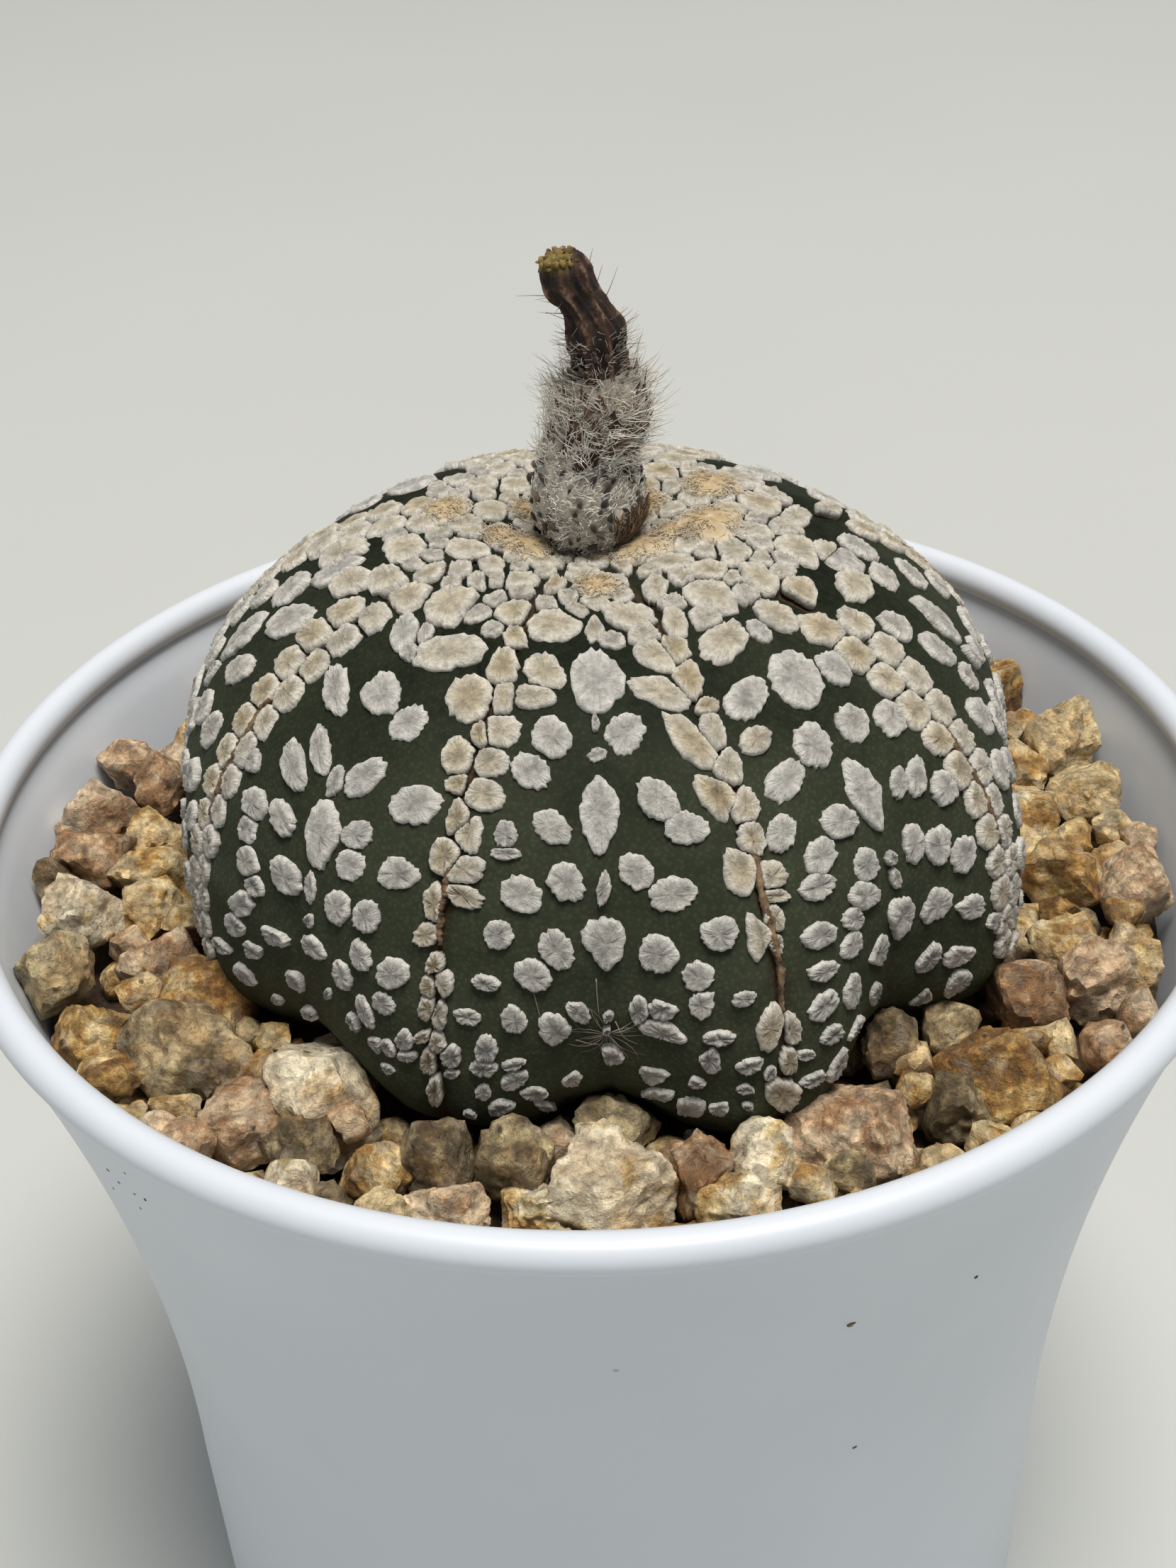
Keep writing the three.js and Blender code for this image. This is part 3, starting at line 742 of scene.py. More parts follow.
@dataclass
class Pot:
    """Round moulded pot: lip bead, wall that runs out to the lip, foot ring and drain holes."""

    height: float = 88.0
    rim_radius: float = 50.0
    lip: float = 2.8
    wall: float = 1.6
    neck_radius: float = 39.3
    flare: float = 10.4
    flare_depth: float = 62.0
    foot_radius: float = 38.6
    foot_ring: float = 2.6
    foot_rise: float = 1.5
    chamfer: float = 1.0
    floor_top: float = 3.5
    hole_radius: float = 3.2
    hole_circle: float = 24.0
    holes: int = 6
    sides: int = 192
    sharp: float = 40.0  # degrees of bend from which an edge stays sharp

    @property
    def lip_middle(self) -> float:
        """Height of the middle of the lip bead."""
        return self.height - self.lip / 2

    def outer(self, height: np.ndarray) -> np.ndarray:
        """Outer radius of the wall at a height."""
        height = np.asarray(height, dtype=float)
        depth = self.lip_middle - height
        flared = self.neck_radius + self.flare * (1 - np.minimum(depth / self.flare_depth, 1)) ** 2
        share = np.clip(height / (self.lip_middle - self.flare_depth), 0, 1)
        plain = self.foot_radius + (self.neck_radius - self.foot_radius) * share
        return np.where(depth < self.flare_depth, flared, plain)

    def inner(self, height: np.ndarray) -> np.ndarray:
        """Inner radius of the wall at a height."""
        return self.outer(height) - self.wall

    def profile(self) -> np.ndarray:
        """Radius and height, down the inside and up the outside of the wall."""
        tuck = self.lip_middle - self.lip * 0.6
        bead = self.lip / 2
        arc = np.linspace(-math.pi / 3, 4 * math.pi / 3, 22)
        outside = np.linspace(self.chamfer, tuck, 40)
        inside = np.linspace(tuck, self.floor_top + 1.2, 30)
        foot_inner = self.foot_radius - self.chamfer - self.foot_ring
        round_foot = np.linspace(0, math.pi / 2, 5)
        foot = [(self.foot_radius - self.chamfer * (1 - math.sin(a)), self.chamfer * (1 - math.cos(a)))
                for a in round_foot]
        cove = [(self.inner(self.floor_top + 1.2) - 1.2 * math.sin(a),
                 self.floor_top + 1.2 * (1 - math.sin(a)))
                for a in np.linspace(0.2, math.pi / 2, 4)]
        points = [(8.0, self.foot_rise), (foot_inner - self.chamfer, self.foot_rise), (foot_inner, 0.0)]
        points += foot
        points += [(float(self.outer(h)), h) for h in outside[1:]]
        points += [(self.rim_radius - bead + bead * math.cos(a), self.lip_middle + bead * math.sin(a))
                   for a in arc]
        points += [(float(self.inner(h)), h) for h in inside]
        points += cove + [(8.0, self.floor_top)]
        return np.array(points)

    def build(self) -> bpy.types.Object:
        """Makes the pot and cuts its drain holes."""
        rings = turned(self.profile(), self.sides)[:, ::-1]
        shell = closed_rings(rings, np.array([0, 0, self.foot_rise]), np.array([0, 0, self.floor_top]))
        made = piece("moulded_pot", shell, Polypropylene(), self.sharp, ["pot"])
        drill = bmesh.new()
        for i in range(self.holes + 1):
            turn = i / self.holes * TURN
            reach = self.hole_circle if i < self.holes else 0.0
            spot = Vector((reach * math.cos(turn), reach * math.sin(turn), 0)) * MM
            bmesh.ops.create_cone(drill, cap_ends=True, segments=32, radius1=self.hole_radius * MM,
                                  radius2=self.hole_radius * MM, depth=3 * self.floor_top * MM,
                                  matrix=Matrix.Translation(spot))
        mesh = bpy.data.meshes.new("drill")
        drill.to_mesh(mesh)
        drill.free()
        cutter = linked("drill", mesh)
        cut = made.modifiers.new("drain_holes", "BOOLEAN")
        cut.operation = "DIFFERENCE"
        cut.solver = "EXACT"
        cut.object = cutter
        bpy.context.view_layer.update()
        cut_mesh = bpy.data.meshes.new_from_object(made.evaluated_get(bpy.context.evaluated_depsgraph_get()))
        made.modifiers.clear()
        made.data = cut_mesh
        made.data.set_sharp_from_angle(angle=math.radians(self.sharp))
        bpy.data.objects.remove(cutter)
        return made


# Specks of dried soil on the pot, as they lie in the photograph: pixels from its left and top, width
SPECKS = ((1200, 1868, 11), (1377, 1801, 6), (1206, 2041, 7), (152, 1650, 6), (168, 1668, 5), (190, 1684, 5),
          (205, 1692, 5), (176, 1655, 4), (160, 1676, 4), (198, 1704, 4))


@dataclass
class SoilSpecks:
    """Specks of dried soil that stick to the pot's wall."""

    pot: Pot
    camera: PhotoCamera
    half_pixel: float = 0.03  # millimetres of radius for a pixel of width

    def wall_at(self, x: float, y: float) -> np.ndarray:
        """Place on the pot's outer wall that a pixel shows.

        Args:
            x: pixels from the picture's left.
            y: pixels from its top.

        Returns:
            The place.
        """
        eye = np.array(self.camera.place)
        path = eye + unit(self.camera.ray(x, y)) * np.arange(100.0, 320.0, 0.05)[:, None]
        wide, high = np.hypot(path[:, 0], path[:, 1]), path[:, 2]
        inside = (wide < self.pot.outer(high)) & (high < self.pot.lip_middle)
        return path[int(np.argmax(inside))]

    def build(self) -> None:
        """Makes the specks."""
        rng = default_rng(5)
        blank = ball(2)
        shapes = []
        for x, y, wide in SPECKS:
            spot = self.wall_at(x, y)
            out = unit(np.array([spot[0], spot[1], 0.0]))
            side = np.cross([0.0, 0.0, 1.0], out)
            half = wide * self.half_pixel
            local = blank.points * (1 + 0.3 * lumps(blank.points, 1.3, x))[:, None]
            local = (local[:, :1] * side * half + local[:, 1:2] * out * 0.35 * half
                     + local[:, 2:] * np.array([0.0, 0.0, half * rng.uniform(0.6, 0.9)]))
            shapes.append(Shape(spot + local, blank.faces))
        piece("soil_specks", joined(shapes), SOIL_DUST)


@dataclass(frozen=True)
class StemForm:
    """Form of the stem: a low dome on a flat base, folded in on eight lines, creased at eight seams."""

    axis: tuple[float, float, float] = (-0.1, 0.6, 84.0)
    radius: float = 33.7
    dome: float = 27.4
    base: float = 11.2
    squareness: float = 2.26
    dip: float = 2.4
    dip_radius: float = 8.0
    fold: float = 4.8
    fold_start: float = 0.4
    fold_span: float = 0.8
    seams: tuple[float, ...] = (-155, -108, -65, -20, 20, 59, 108, 156)
    areoles: tuple[float, ...] = (-132, -86.5, -42, 0.5, 40, 84, 132, 180.5)
    seam_swell: tuple[float, ...] = (0, 0, -1.2, -0.4, 1.8, 0.9, 0.3, 0)
    groove: float = 0.5
    crease: float = 0.22

    def meridian(self, t: np.ndarray) -> tuple[np.ndarray, np.ndarray]:
        """Plain outline from the crown, t = 0, over the widest part, 1, to the base, 2.

        Args:
            t: places on the outline.

        Returns:
            Radius and height over the axis point.
        """
        angle = np.asarray(t, dtype=float) * math.pi / 2
        side, rise = np.abs(np.sin(angle)), np.cos(angle)
        scale = (side ** self.squareness + np.abs(rise) ** self.squareness) ** (-1 / self.squareness)
        radius = self.radius * side * scale
        dip = np.where(rise > 0, self.dip * np.exp(-((radius / self.dip_radius) ** 2)), 0.0)
        return radius, np.where(rise > 0, self.dome, self.base) * rise * scale - dip

    @cached_property
    def steps(self) -> tuple[np.ndarray, np.ndarray]:
        """Places t on the outline and the skin length reached at each."""
        t = np.arange(0, 2.0001, 0.005)
        radius, height = self.meridian(t)
        reached = np.concatenate([[0.0], np.cumsum(np.hypot(np.diff(radius), np.diff(height)))])
        return t, reached

    def t_at(self, length: np.ndarray) -> np.ndarray:
        """Place on the outline at a skin length from the crown."""
        return np.interp(length, self.steps[1], self.steps[0])

    def radius_at(self, length: np.ndarray) -> np.ndarray:
        """Plain radius at a skin length."""
        return self.meridian(self.t_at(length))[0]

    @property
    def edges(self) -> np.ndarray:
        """Angles of the seams, with the first again at the end."""
        return np.array(self.seams + (self.seams[0] + 360,))

    def across(self, angle: np.ndarray) -> tuple[np.ndarray, np.ndarray, np.ndarray]:
        """Where an angle lies on its face.

        Args:
            angle: degrees from the front, positive to the right.

        Returns:
            Number of the face, place from -1 at its left seam to 1 at its right, and the turned angle.
        """
        first = self.seams[0]
        turned = np.mod(np.asarray(angle, dtype=float) - first, 360) + first
        face = np.searchsorted(self.seams, turned, side="right") - 1
        middle = np.array(self.areoles)[face]
        span = np.where(turned < middle, middle - self.edges[face], self.edges[face + 1] - middle)
        return face, (turned - middle) / span, turned

    def plain(self, t: np.ndarray, angle: np.ndarray) -> np.ndarray:
        """Point of the folded skin without its creases.

        Args:
            t: place on the outline.
            angle: degrees from the front.

        Returns:
            Places, millimetres.
        """
        radius, height = self.meridian(t)
        face, across, _ = self.across(angle)
        towards_base = np.clip((t - self.fold_start) / self.fold_span, 0, 1) ** 2
        fold = self.fold * towards_base * ((1 + np.cos(math.pi * across)) / 2) ** 1.5
        seam = np.where(across < 0, face, (face + 1) % len(self.seams))
        swell = np.array(self.seam_swell)[seam] * np.sin(math.pi / 2 * across) ** 2
        reach = radius * (1 + (swell - fold) / self.radius)
        turn = np.radians(angle)
        spot = np.stack([reach * np.sin(turn), -reach * np.cos(turn), height], axis=-1)
        return spot + np.array(self.axis)

    def point(self, length: np.ndarray, angle: np.ndarray, proud: np.ndarray) -> np.ndarray:
        """Point of the skin moved out along its normal.

        Args:
            length: skin length from the crown.
            angle: degrees from the front.
            proud: how far it is moved out.

        Returns:
            Places, millimetres.
        """
        length, angle, proud = np.broadcast_arrays(np.maximum(length, 0.05), angle, proud)
        t = self.t_at(length)
        nudge = 0.01
        spot = self.plain(t, angle)
        down = self.plain(t + nudge, angle) - spot
        along = self.plain(t, angle + nudge * 90) - spot
        return spot + unit(np.cross(down, along)) * proud[..., None]

    def relief(self, length: np.ndarray, angle: np.ndarray) -> np.ndarray:
        """Depth of the seams' grooves and of the creases along the areoles, as a height over the skin."""
        radius = self.radius_at(length)
        face, _, turned = self.across(angle)
        to_seam = np.minimum(turned - self.edges[face], self.edges[face + 1] - turned)
        to_areole = np.abs(turned - np.array(self.areoles)[face])
        seam = np.exp(-((np.radians(to_seam) * radius / 0.55) ** 2)) * np.clip((length - 4) / 6, 0, 1)
        crease = np.exp(-((np.radians(to_areole) * radius / 0.5) ** 2)) * np.clip((length - 22) / 10, 0, 1)
        return -self.groove * seam - self.crease * crease

    def seam_line(self, length: np.ndarray, angle: np.ndarray) -> np.ndarray:
        """How corky the skin is, from 1 on a seam to 0 a little beside it."""
        face, _, turned = self.across(angle)
        away = np.minimum(turned - self.edges[face], self.edges[face + 1] - turned)
        away = np.radians(away) * self.radius_at(length)
        return np.exp(-((away / 0.35) ** 2)) * np.clip((length - 6) / 6, 0, 1)


class Tint(Enum):
    """Where on the felt's range of colours a scale lies."""

    WHITE = 0.08
    CREAM = 0.52
    TAN = 0.7


@dataclass
class Scale:
    """One felt scale: its place on the skin and the ends of its two half axes, right and up."""

    length: float
    angle: float
    tall: np.ndarray
    wide: np.ndarray
    tint: float
    drop: bool = False  # drawn out to a point towards the base

    @property
    def reach(self) -> float:
        """Mean radius."""
        return 0.45 * math.hypot(*self.wide) + 0.5 * math.hypot(*self.tall)


# Scales as they lie in the photograph: pixels from its left and top, long and short axis in pixels,
# and how far the long axis leans, in degrees, its top end to the right where positive.
FRONT_WHITE = (
    (840, 1020, 24, 11, 0), (882, 1038, 70, 44, 30), (843, 1067, 28, 19, 70), (778, 1042, 58, 54, 0),
    (748, 1090, 60, 45, -60), (927, 1127, 62, 52, 10), (779, 1167, 56, 46, -60), (969, 1169, 60, 46, 50),
    (714, 1176, 40, 34, 0), (714, 1202, 42, 19, 90), (897, 1226, 58, 44, 30), (798, 1245, 60, 46, -25),
    (852, 1255, 52, 19, 10), (735, 1264, 66, 47, -65), (949, 1262, 70, 44, 60), (703, 1320, 43, 40, -20),
    (785, 1341, 60, 46, -40), (928, 1343, 60, 48, 35), (1015, 1316, 56, 43, 45), (752, 1374, 54, 44, -50),
    (686, 1384, 40, 20, -75), (985, 1377, 44, 38, 20), (990, 1415, 42, 30, 30), (1049, 1407, 35, 20, 65),
    (815, 1425, 46, 25, -45), (902, 1424, 40, 27, 10), (936, 1421, 42, 34, 60), (660, 1432, 39, 22, -75),
    (725, 1440, 42, 33, -30), (858, 1434, 19, 12, 60), (856, 1453, 13, 12, 0), (784, 1455, 54, 44, -40),
    (938, 1458, 68, 37, -72), (686, 1480, 40, 31, 0), (683, 1505, 40, 22, 90), (637, 1487, 31, 28, 0),
    (638, 1513, 22, 11, 90), (862, 1486, 40, 23, -85), (1014, 1463, 44, 18, 85), (1003, 1492, 40, 27, -15),
    (1057, 1500, 35, 20, 70), (728, 1501, 40, 16, 80), (726, 1523, 42, 23, 60), (803, 1518, 38, 30, -70),
    (922, 1513, 37, 27, -70), (983, 1524, 21, 14, -80), (1086, 1514, 21, 14, 30), (682, 1538, 23, 21, 0),
    (754, 1542, 37, 18, 85), (928, 1542, 41, 14, -75), (1054, 1535, 29, 13, 80), (706, 1560, 39, 16, 70),
    (768, 1558, 25, 11, -80), (973, 1562, 37, 24, -60), (1015, 1560, 28, 24, 0), (1053, 1558, 17, 9, 90),
    (662, 1568, 22, 9, -70), (720, 1582, 30, 9, 70),
)
LEFT_WHITE = (
    (475, 973, 62, 42, 0), (541, 978, 62, 53, 20), (576, 1023, 58, 44, 50), (571, 895, 62, 43, 15),
    (602, 893, 36, 18, 30), (577, 922, 28, 26, 0), (453, 1061, 69, 28, -5), (417, 1078, 70, 34, -8),
    (475, 1100, 50, 20, 15), (515, 1096, 72, 38, 45), (359, 1074, 33, 18, 10), (360, 1136, 46, 34, 0),
    (352, 1168, 40, 26, 0), (398, 1155, 50, 33, -15), (505, 1176, 47, 38, 45), (495, 1221, 45, 42, 0),
    (587, 1135, 74, 56, 85), (562, 1232, 58, 45, 85), (352, 1217, 50, 30, -20), (360, 1247, 36, 26, -30),
    (404, 1236, 62, 37, -35), (440, 1249, 46, 14, 0), (477, 1280, 50, 33, 0), (518, 1293, 48, 35, 0),
    (340, 1275, 48, 34, 60), (334, 1303, 38, 28, -45), (438, 1297, 19, 12, 0), (390, 1319, 54, 27, -35),
    (444, 1337, 44, 23, -45), (510, 1347, 44, 27, -15), (357, 1341, 37, 19, -60), (315, 1333, 36, 15, -50),
    (484, 1375, 46, 21, -15), (554, 1374, 45, 42, 60), (348, 1374, 42, 17, -45), (419, 1384, 44, 17, -50),
    (516, 1425, 50, 17, -20), (542, 1413, 37, 27, -50), (530, 1467, 37, 14, -30), (548, 1476, 31, 15, -35),
    (572, 1467, 31, 25, 0), (576, 1490, 27, 14, -80), (552, 1508, 25, 11, -55), (440, 1428, 50, 13, -65),
    (466, 1400, 17, 9, 0), (500, 1440, 30, 9, -30), (388, 1405, 42, 11, -60),
)
RIGHT_WHITE = (
    (1121, 958, 92, 62, -35), (1176, 940, 55, 39, -35), (1202, 1020, 58, 41, -20), (1255, 1012, 54, 41, -10),
    (1144, 1050, 67, 47, -45), (1107, 1103, 63, 46, 85), (1267, 1105, 52, 21, 5), (1290, 1097, 64, 25, 5),
    (1331, 1109, 53, 33, 0), (1182, 1157, 60, 39, -65), (1156, 1207, 45, 43, 0), (1152, 1249, 49, 35, 80),
    (1101, 1176, 47, 41, 0), (1219, 1219, 46, 39, -10), (1216, 1261, 45, 37, 90), (1288, 1190, 60, 29, 3),
    (1321, 1191, 59, 31, 3), (1358, 1205, 62, 27, 5), (1256, 1212, 22, 13, 0), (1262, 1237, 32, 13, -10),
    (1320, 1277, 60, 29, 30), (1369, 1280, 41, 29, 50), (1154, 1317, 47, 33, 80), (1202, 1295, 30, 27, 0),
    (1200, 1332, 36, 25, 15), (1236, 1344, 48, 27, 15), (1309, 1350, 48, 21, 40), (1354, 1345, 44, 25, 55),
    (1160, 1370, 37, 25, 70), (1201, 1398, 50, 20, 0), (1231, 1400, 38, 15, 20), (1301, 1405, 52, 21, 50),
    (1350, 1384, 41, 21, 40), (1161, 1420, 47, 29, 40), (1172, 1457, 31, 21, 50), (1135, 1487, 27, 14, 85),
    (1145, 1522, 33, 17, 65), (1179, 1500, 56, 13, 20), (1203, 1452, 44, 13, 25), (1247, 1428, 30, 9, 45),
    (1402, 1297, 27, 16, 20), (1054, 988, 70, 51, 85), (1068, 890, 41, 22, -50),
)
CREAM_SCALES = (
    (1020, 900, 72, 52, 85), (1066, 1047, 46, 29, 90), (635, 920, 100, 45, 88), (924, 925, 56, 43, -35),
    (925, 976, 64, 41, -70), (769, 950, 58, 42, -60), (752, 985, 56, 30, 88), (718, 985, 48, 17, 15),
    (712, 1035, 45, 39, 30), (697, 1077, 42, 37, 30), (689, 1121, 44, 40, 0), (664, 1176, 60, 31, 10),
    (660, 1230, 44, 37, 30), (662, 1266, 37, 28, -45), (627, 1385, 50, 34, -15), (622, 1428, 46, 24, -10),
    (617, 1468, 30, 20, -20),
    (1013, 1031, 56, 45, -20), (1033, 1078, 56, 50, -30), (1056, 1137, 52, 47, 0), (1060, 1187, 52, 32, -15),
    (1090, 1238, 46, 40, 90), (1093, 1262, 44, 24, 90), (1091, 1297, 44, 22, -10), (1093, 1330, 27, 17, -15),
    (1117, 1450, 42, 32, -10), (1068, 1320, 88, 23, -10), (790, 881, 70, 46, 75), (877, 877, 56, 44, -80),
    (839, 890, 38, 27, 0), (640, 852, 80, 60, 60), (655, 772, 84, 44, -70), (573, 775, 62, 48, 85),
    (545, 816, 54, 36, 60), (495, 822, 58, 43, 70), (484, 783, 66, 38, 62), (1005, 842, 84, 55, -72),
    (1036, 778, 66, 42, 85), (957, 880, 56, 46, 0), (1068, 818, 62, 42, -60), (1091, 868, 60, 31, -50),
    (1125, 776, 70, 38, -65), (1170, 783, 48, 24, -60), (1206, 828, 50, 35, -75), (1120, 733, 40, 36, 0),
    (1162, 718, 38, 35, 0), (930, 828, 66, 40, -30), (700, 800, 60, 30, -60), (605, 812, 60, 20, 60),
)
TAN_SCALES = (
    (711, 940, 58, 38, 15), (663, 985, 63, 60, 0), (672, 1035, 42, 37, 0), (646, 1068, 58, 52, 0),
    (645, 1106, 44, 31, 85), (640, 1154, 66, 43, 8), (623, 1208, 58, 52, 0), (612, 1275, 50, 36, 0),
    (603, 1318, 38, 29, 45), (610, 1360, 34, 32, 0), (605, 1388, 34, 34, 0), (603, 1420, 34, 34, 0),
    (598, 1460, 14, 30, -15), (612, 1535, 44, 26, 0), (976, 1046, 92, 41, -38),
    (1008, 1126, 76, 35, -20), (1042, 1224, 68, 38, -5), (980, 955, 58, 52, 0), (1002, 997, 42, 22, 85),
    (720, 865, 72, 50, -60), (738, 900, 60, 36, -60), (1086, 1452, 60, 28, 12), (948, 915, 50, 36, -20),
    (1131, 832, 60, 56, 0), (1075, 712, 58, 42, -60), (880, 800, 60, 30, -80), (783, 830, 56, 24, 40),
    (605, 1495, 36, 24, 0), (1112, 1495, 36, 20, 0), (1104, 1545, 40, 40, 0), (1099, 1590, 24, 16, 10),
)
DROPS = ((846, 1148, 102, 56, 0), (853, 1326, 72, 62, 0), (455, 1175, 96, 49, 6), (1219, 1120, 96, 47, -24),
         (842, 958, 84, 76, 0), (1270, 1291, 60, 33, 10))


# Split corky bark: skin lengths between which it has opened each seam
BARK_SPANS = ((29.0, 41.0), (31.0, 43.0), (28.0, 38.0), (31.6, 37.6), (28.4, 41.8), (30.0, 40.0),
              (27.0, 39.0),
              (32.0, 42.0))


@dataclass
class SeenSkin:
    """The stem's skin as the photograph sees it: finds the place on it that a pixel shows."""

    form: StemForm
    camera: PhotoCamera

    @cached_property
    def skin(self) -> BVHTree:
        """The plain skin, ready to be met by rays."""
        length = np.linspace(0.5, 60, 160)[:, None]
        angle = np.arange(0, 360, 1.5)[None]
        points = self.form.point(length, angle, 0.0)
        faces = grid_faces(160, 240)
        return BVHTree.FromPolygons(points.reshape(-1, 3).tolist(), faces.tolist())

    def locate(self, x: float, y: float) -> tuple[float, float, np.ndarray, np.ndarray] | None:
        """Finds the skin that a pixel shows.

        Args:
            x: pixels from the picture's left.
            y: pixels from its top.

        Returns:
            Skin length, angle, place and outward normal, or nothing where the pixel shows no skin.
        """
        eye = Vector(self.camera.place)
        hit, normal, _, _ = self.skin.ray_cast(eye, Vector(self.camera.ray(x, y)).normalized())
        if hit is None:
            return None
        spot, normal = np.array(hit), np.array(normal)
        if normal @ (np.array(eye) - spot) < 0:
            normal = -normal
        offset = spot - np.array(self.form.axis)
        angle = math.degrees(math.atan2(offset[0], -offset[1]))
        t, reached = self.form.steps
        near = np.linalg.norm(self.form.plain(t, np.full(len(t), angle)) - spot, axis=-1)
        outer = t < 1.65
        return float(reached[int(np.argmin(near[outer]))]), angle, spot, normal


@dataclass(frozen=True)
class Fill:
    """How scales are dropped on a face: pairs hold the value where they begin and where they end."""

    span: tuple[float, float]  # skin lengths
    overlap: float  # part of two radii that has to lie between two middles
    margin: float  # least gap beyond that
    sizes: tuple[float, float]  # half axis across
    tries: int
    tints: tuple[float, float]


@dataclass
class FeltCoat:
    """All felt scales of the stem: those seen in the photograph, and the rest grown by rule."""

    form: StemForm
    seen: SeenSkin
    spokes: int = 36
    far_spokes: int = 20
    far_angle: float = 105.0  # degrees from the front; scales beyond it are drawn with fewer spokes
    rings: tuple[tuple[float, float], ...] = (  # part of the reach, part of the height
        (0.42, 0.92), (0.78, 1.0), (0.93, 0.80), (1.0, 0.25), (1.0, -0.7))
    raised: tuple[float, float] = (0.38, 0.44)  # white and cream
    gap: float = 0.11
    crown_gap: float = 0.2
    seam_gap: float = 0.05
    # How much white and cream scales grow before neighbours stop them
    crowd: tuple[float, float] = (1.03, 1.15)
    # Slow bends of a scale's outline: how many round it, and their usual depth
    bends: tuple[tuple[int, float], ...] = ((2, 0.05), (3, 0.045), (5, 0.03))
    crown_end: float = 15.0
    crown_fills: tuple[Fill, ...] = (Fill((3.4, crown_end), 0.84, 0.0, (1.2, 1.6), 420, (0.6, 0.42)),
                                     Fill((3.0, crown_end), 0.72, 0.0, (0.8, 1.0), 420, (0.66, 0.3)))
    face_fill: Fill = Fill((crown_end, 49.5), 1.0, 0.45, (1.75, 0.95), 700, (0.22, 0.05))
    row_start: float = 8.0
    row_end: float = 50.0
    row_steps: tuple[float, float] = (3.0, 2.3)
    row_across: tuple[float, float] = (1.55, 0.85)
    row_along: tuple[float, float] = (1.5, 1.0)
    marks: tuple[tuple[float, float, float], ...] = (
        (18.6, 1.8, 2.2), (27.7, 1.35, 2.6), (32.1, 0.5, 1.2), (36.4, 1.5, 1.6), (42.5, 0.8, 1.1),
        (46.0, 1.1, 0.8))
    read_faces: tuple[int, ...] = (2, 3, 4)
    read_seams: tuple[int, ...] = (3, 4)
    seed: int = 11
    scales: list[Scale] = field(default_factory=list)

    def to_seam(self, length: float, angle: float) -> tuple[int, float]:
        """Nearest seam of a place.

        Args:
            length: skin length from the crown.
            angle: degrees from the front.

        Returns:
            Number of the seam, and how far it lies to the right, in millimetres.
        """
        away = (np.array(self.form.seams) - angle + 180) % 360 - 180
        seam = int(np.argmin(np.abs(away)))
        return seam, math.radians(away[seam]) * float(self.form.radius_at(length))

    def read(self, row: tuple[float, ...], tint: Tint, drop: bool, rng: Generator) -> None:
        """Lays a scale seen in the photograph on the skin.

        Args:
            row: its place, axes and lean in the picture.
            tint: its colour.
            drop: whether it ends in a point.
            rng: for the spread of the tint.
        """
        x, y, tall, wide, lean = row
        spread = rng.uniform(-0.07, 0.07)
        found = self.seen.locate(x, y)
        if found is None:
            return
        length, angle, spot, normal = found
        camera = self.seen.camera
        eye = np.array(camera.place)
        ahead = self.form.point(np.array([length - 0.4, length, length]),
                                np.array([angle, angle, angle + 0.4]), 0.0)
        up, right = unit(ahead[0] - ahead[1]), unit(ahead[2] - ahead[1])
        leaned = math.radians(lean)
        axes = []
        for reach, px, py in ((tall / 2, math.sin(leaned), -math.cos(leaned)),
                              (wide / 2, math.cos(leaned), math.sin(leaned))):
            ray = camera.ray(x + reach * px, y + reach * py)
            arm = eye + ((spot - eye) @ normal) / (ray @ normal) * ray - spot
            plain = reach * (spot - eye) @ camera.axes[2] / camera.focal
            arm *= min(1.0, 2.4 * plain / max(float(np.linalg.norm(arm)), 1e-6))
            axes.append(np.array([arm @ right, arm @ up]))
        scale = Scale(length, angle, axes[0], axes[1], tint.value + spread, drop)
        if tint is not Tint.WHITE:
            self.draw_to_seam(scale)
        self.scales.append(scale)

    def draw_to_seam(self, scale: Scale) -> None:
        """Widens a scale that stands near a seam until it meets the seam's line."""
        _, away = self.to_seam(scale.length, scale.angle)
        half = math.hypot(scale.tall[0], scale.wide[0])
        if not 0.3 < abs(away) < half + 1.0:
            return
        wider = (abs(away) + half - self.seam_gap) / 2
        move = abs(away) - self.seam_gap - wider
        scale.angle += math.degrees(math.copysign(move, away) / float(self.form.radius_at(scale.length)))
        scale.tall[0] *= wider / half
        scale.wide[0] *= wider / half

    def grow(self, length: float, angle: float, across: float, along: float, tilt: float, tint: float,
             rng: Generator, drop: bool = False) -> Scale:
        """A scale grown by rule.

        Args:
            length: skin length from the crown.
            angle: degrees from the front.
            across: half axis across the face.
            along: half axis along it.
            tilt: degrees that its top leans to the right.
            tint: its colour on the felt's range.
            rng: for the spread of the tint.
            drop: whether it ends in a point.

        Returns:
            The scale.
        """
        turn = math.radians(tilt)
        tall = along * np.array([math.sin(turn), math.cos(turn)])
        wide = across * np.array([math.cos(turn), -math.sin(turn)])
        return Scale(length, angle, tall, wide, tint + rng.uniform(-0.1, 0.1), drop)

    def clear(self, scale: Scale, overlap: float, margin: float) -> bool:
        """Whether a new scale keeps clear of all that are there.

        Args:
            scale: the new scale.
            overlap: part of the two radii that has to lie between the middles.
            margin: least gap beyond that.

        Returns:
            True where nothing is too near.
        """
        if not self.scales:
            return True
        spot = self.form.point(scale.length, scale.angle, 0.0)
        spots = self.form.point(self.all_of("length"), self.all_of("angle"), 0.0)
        away = np.linalg.norm(spots - spot, axis=-1)
        return bool(np.all(away > (self.all_of("reach") + scale.reach) * overlap + margin))

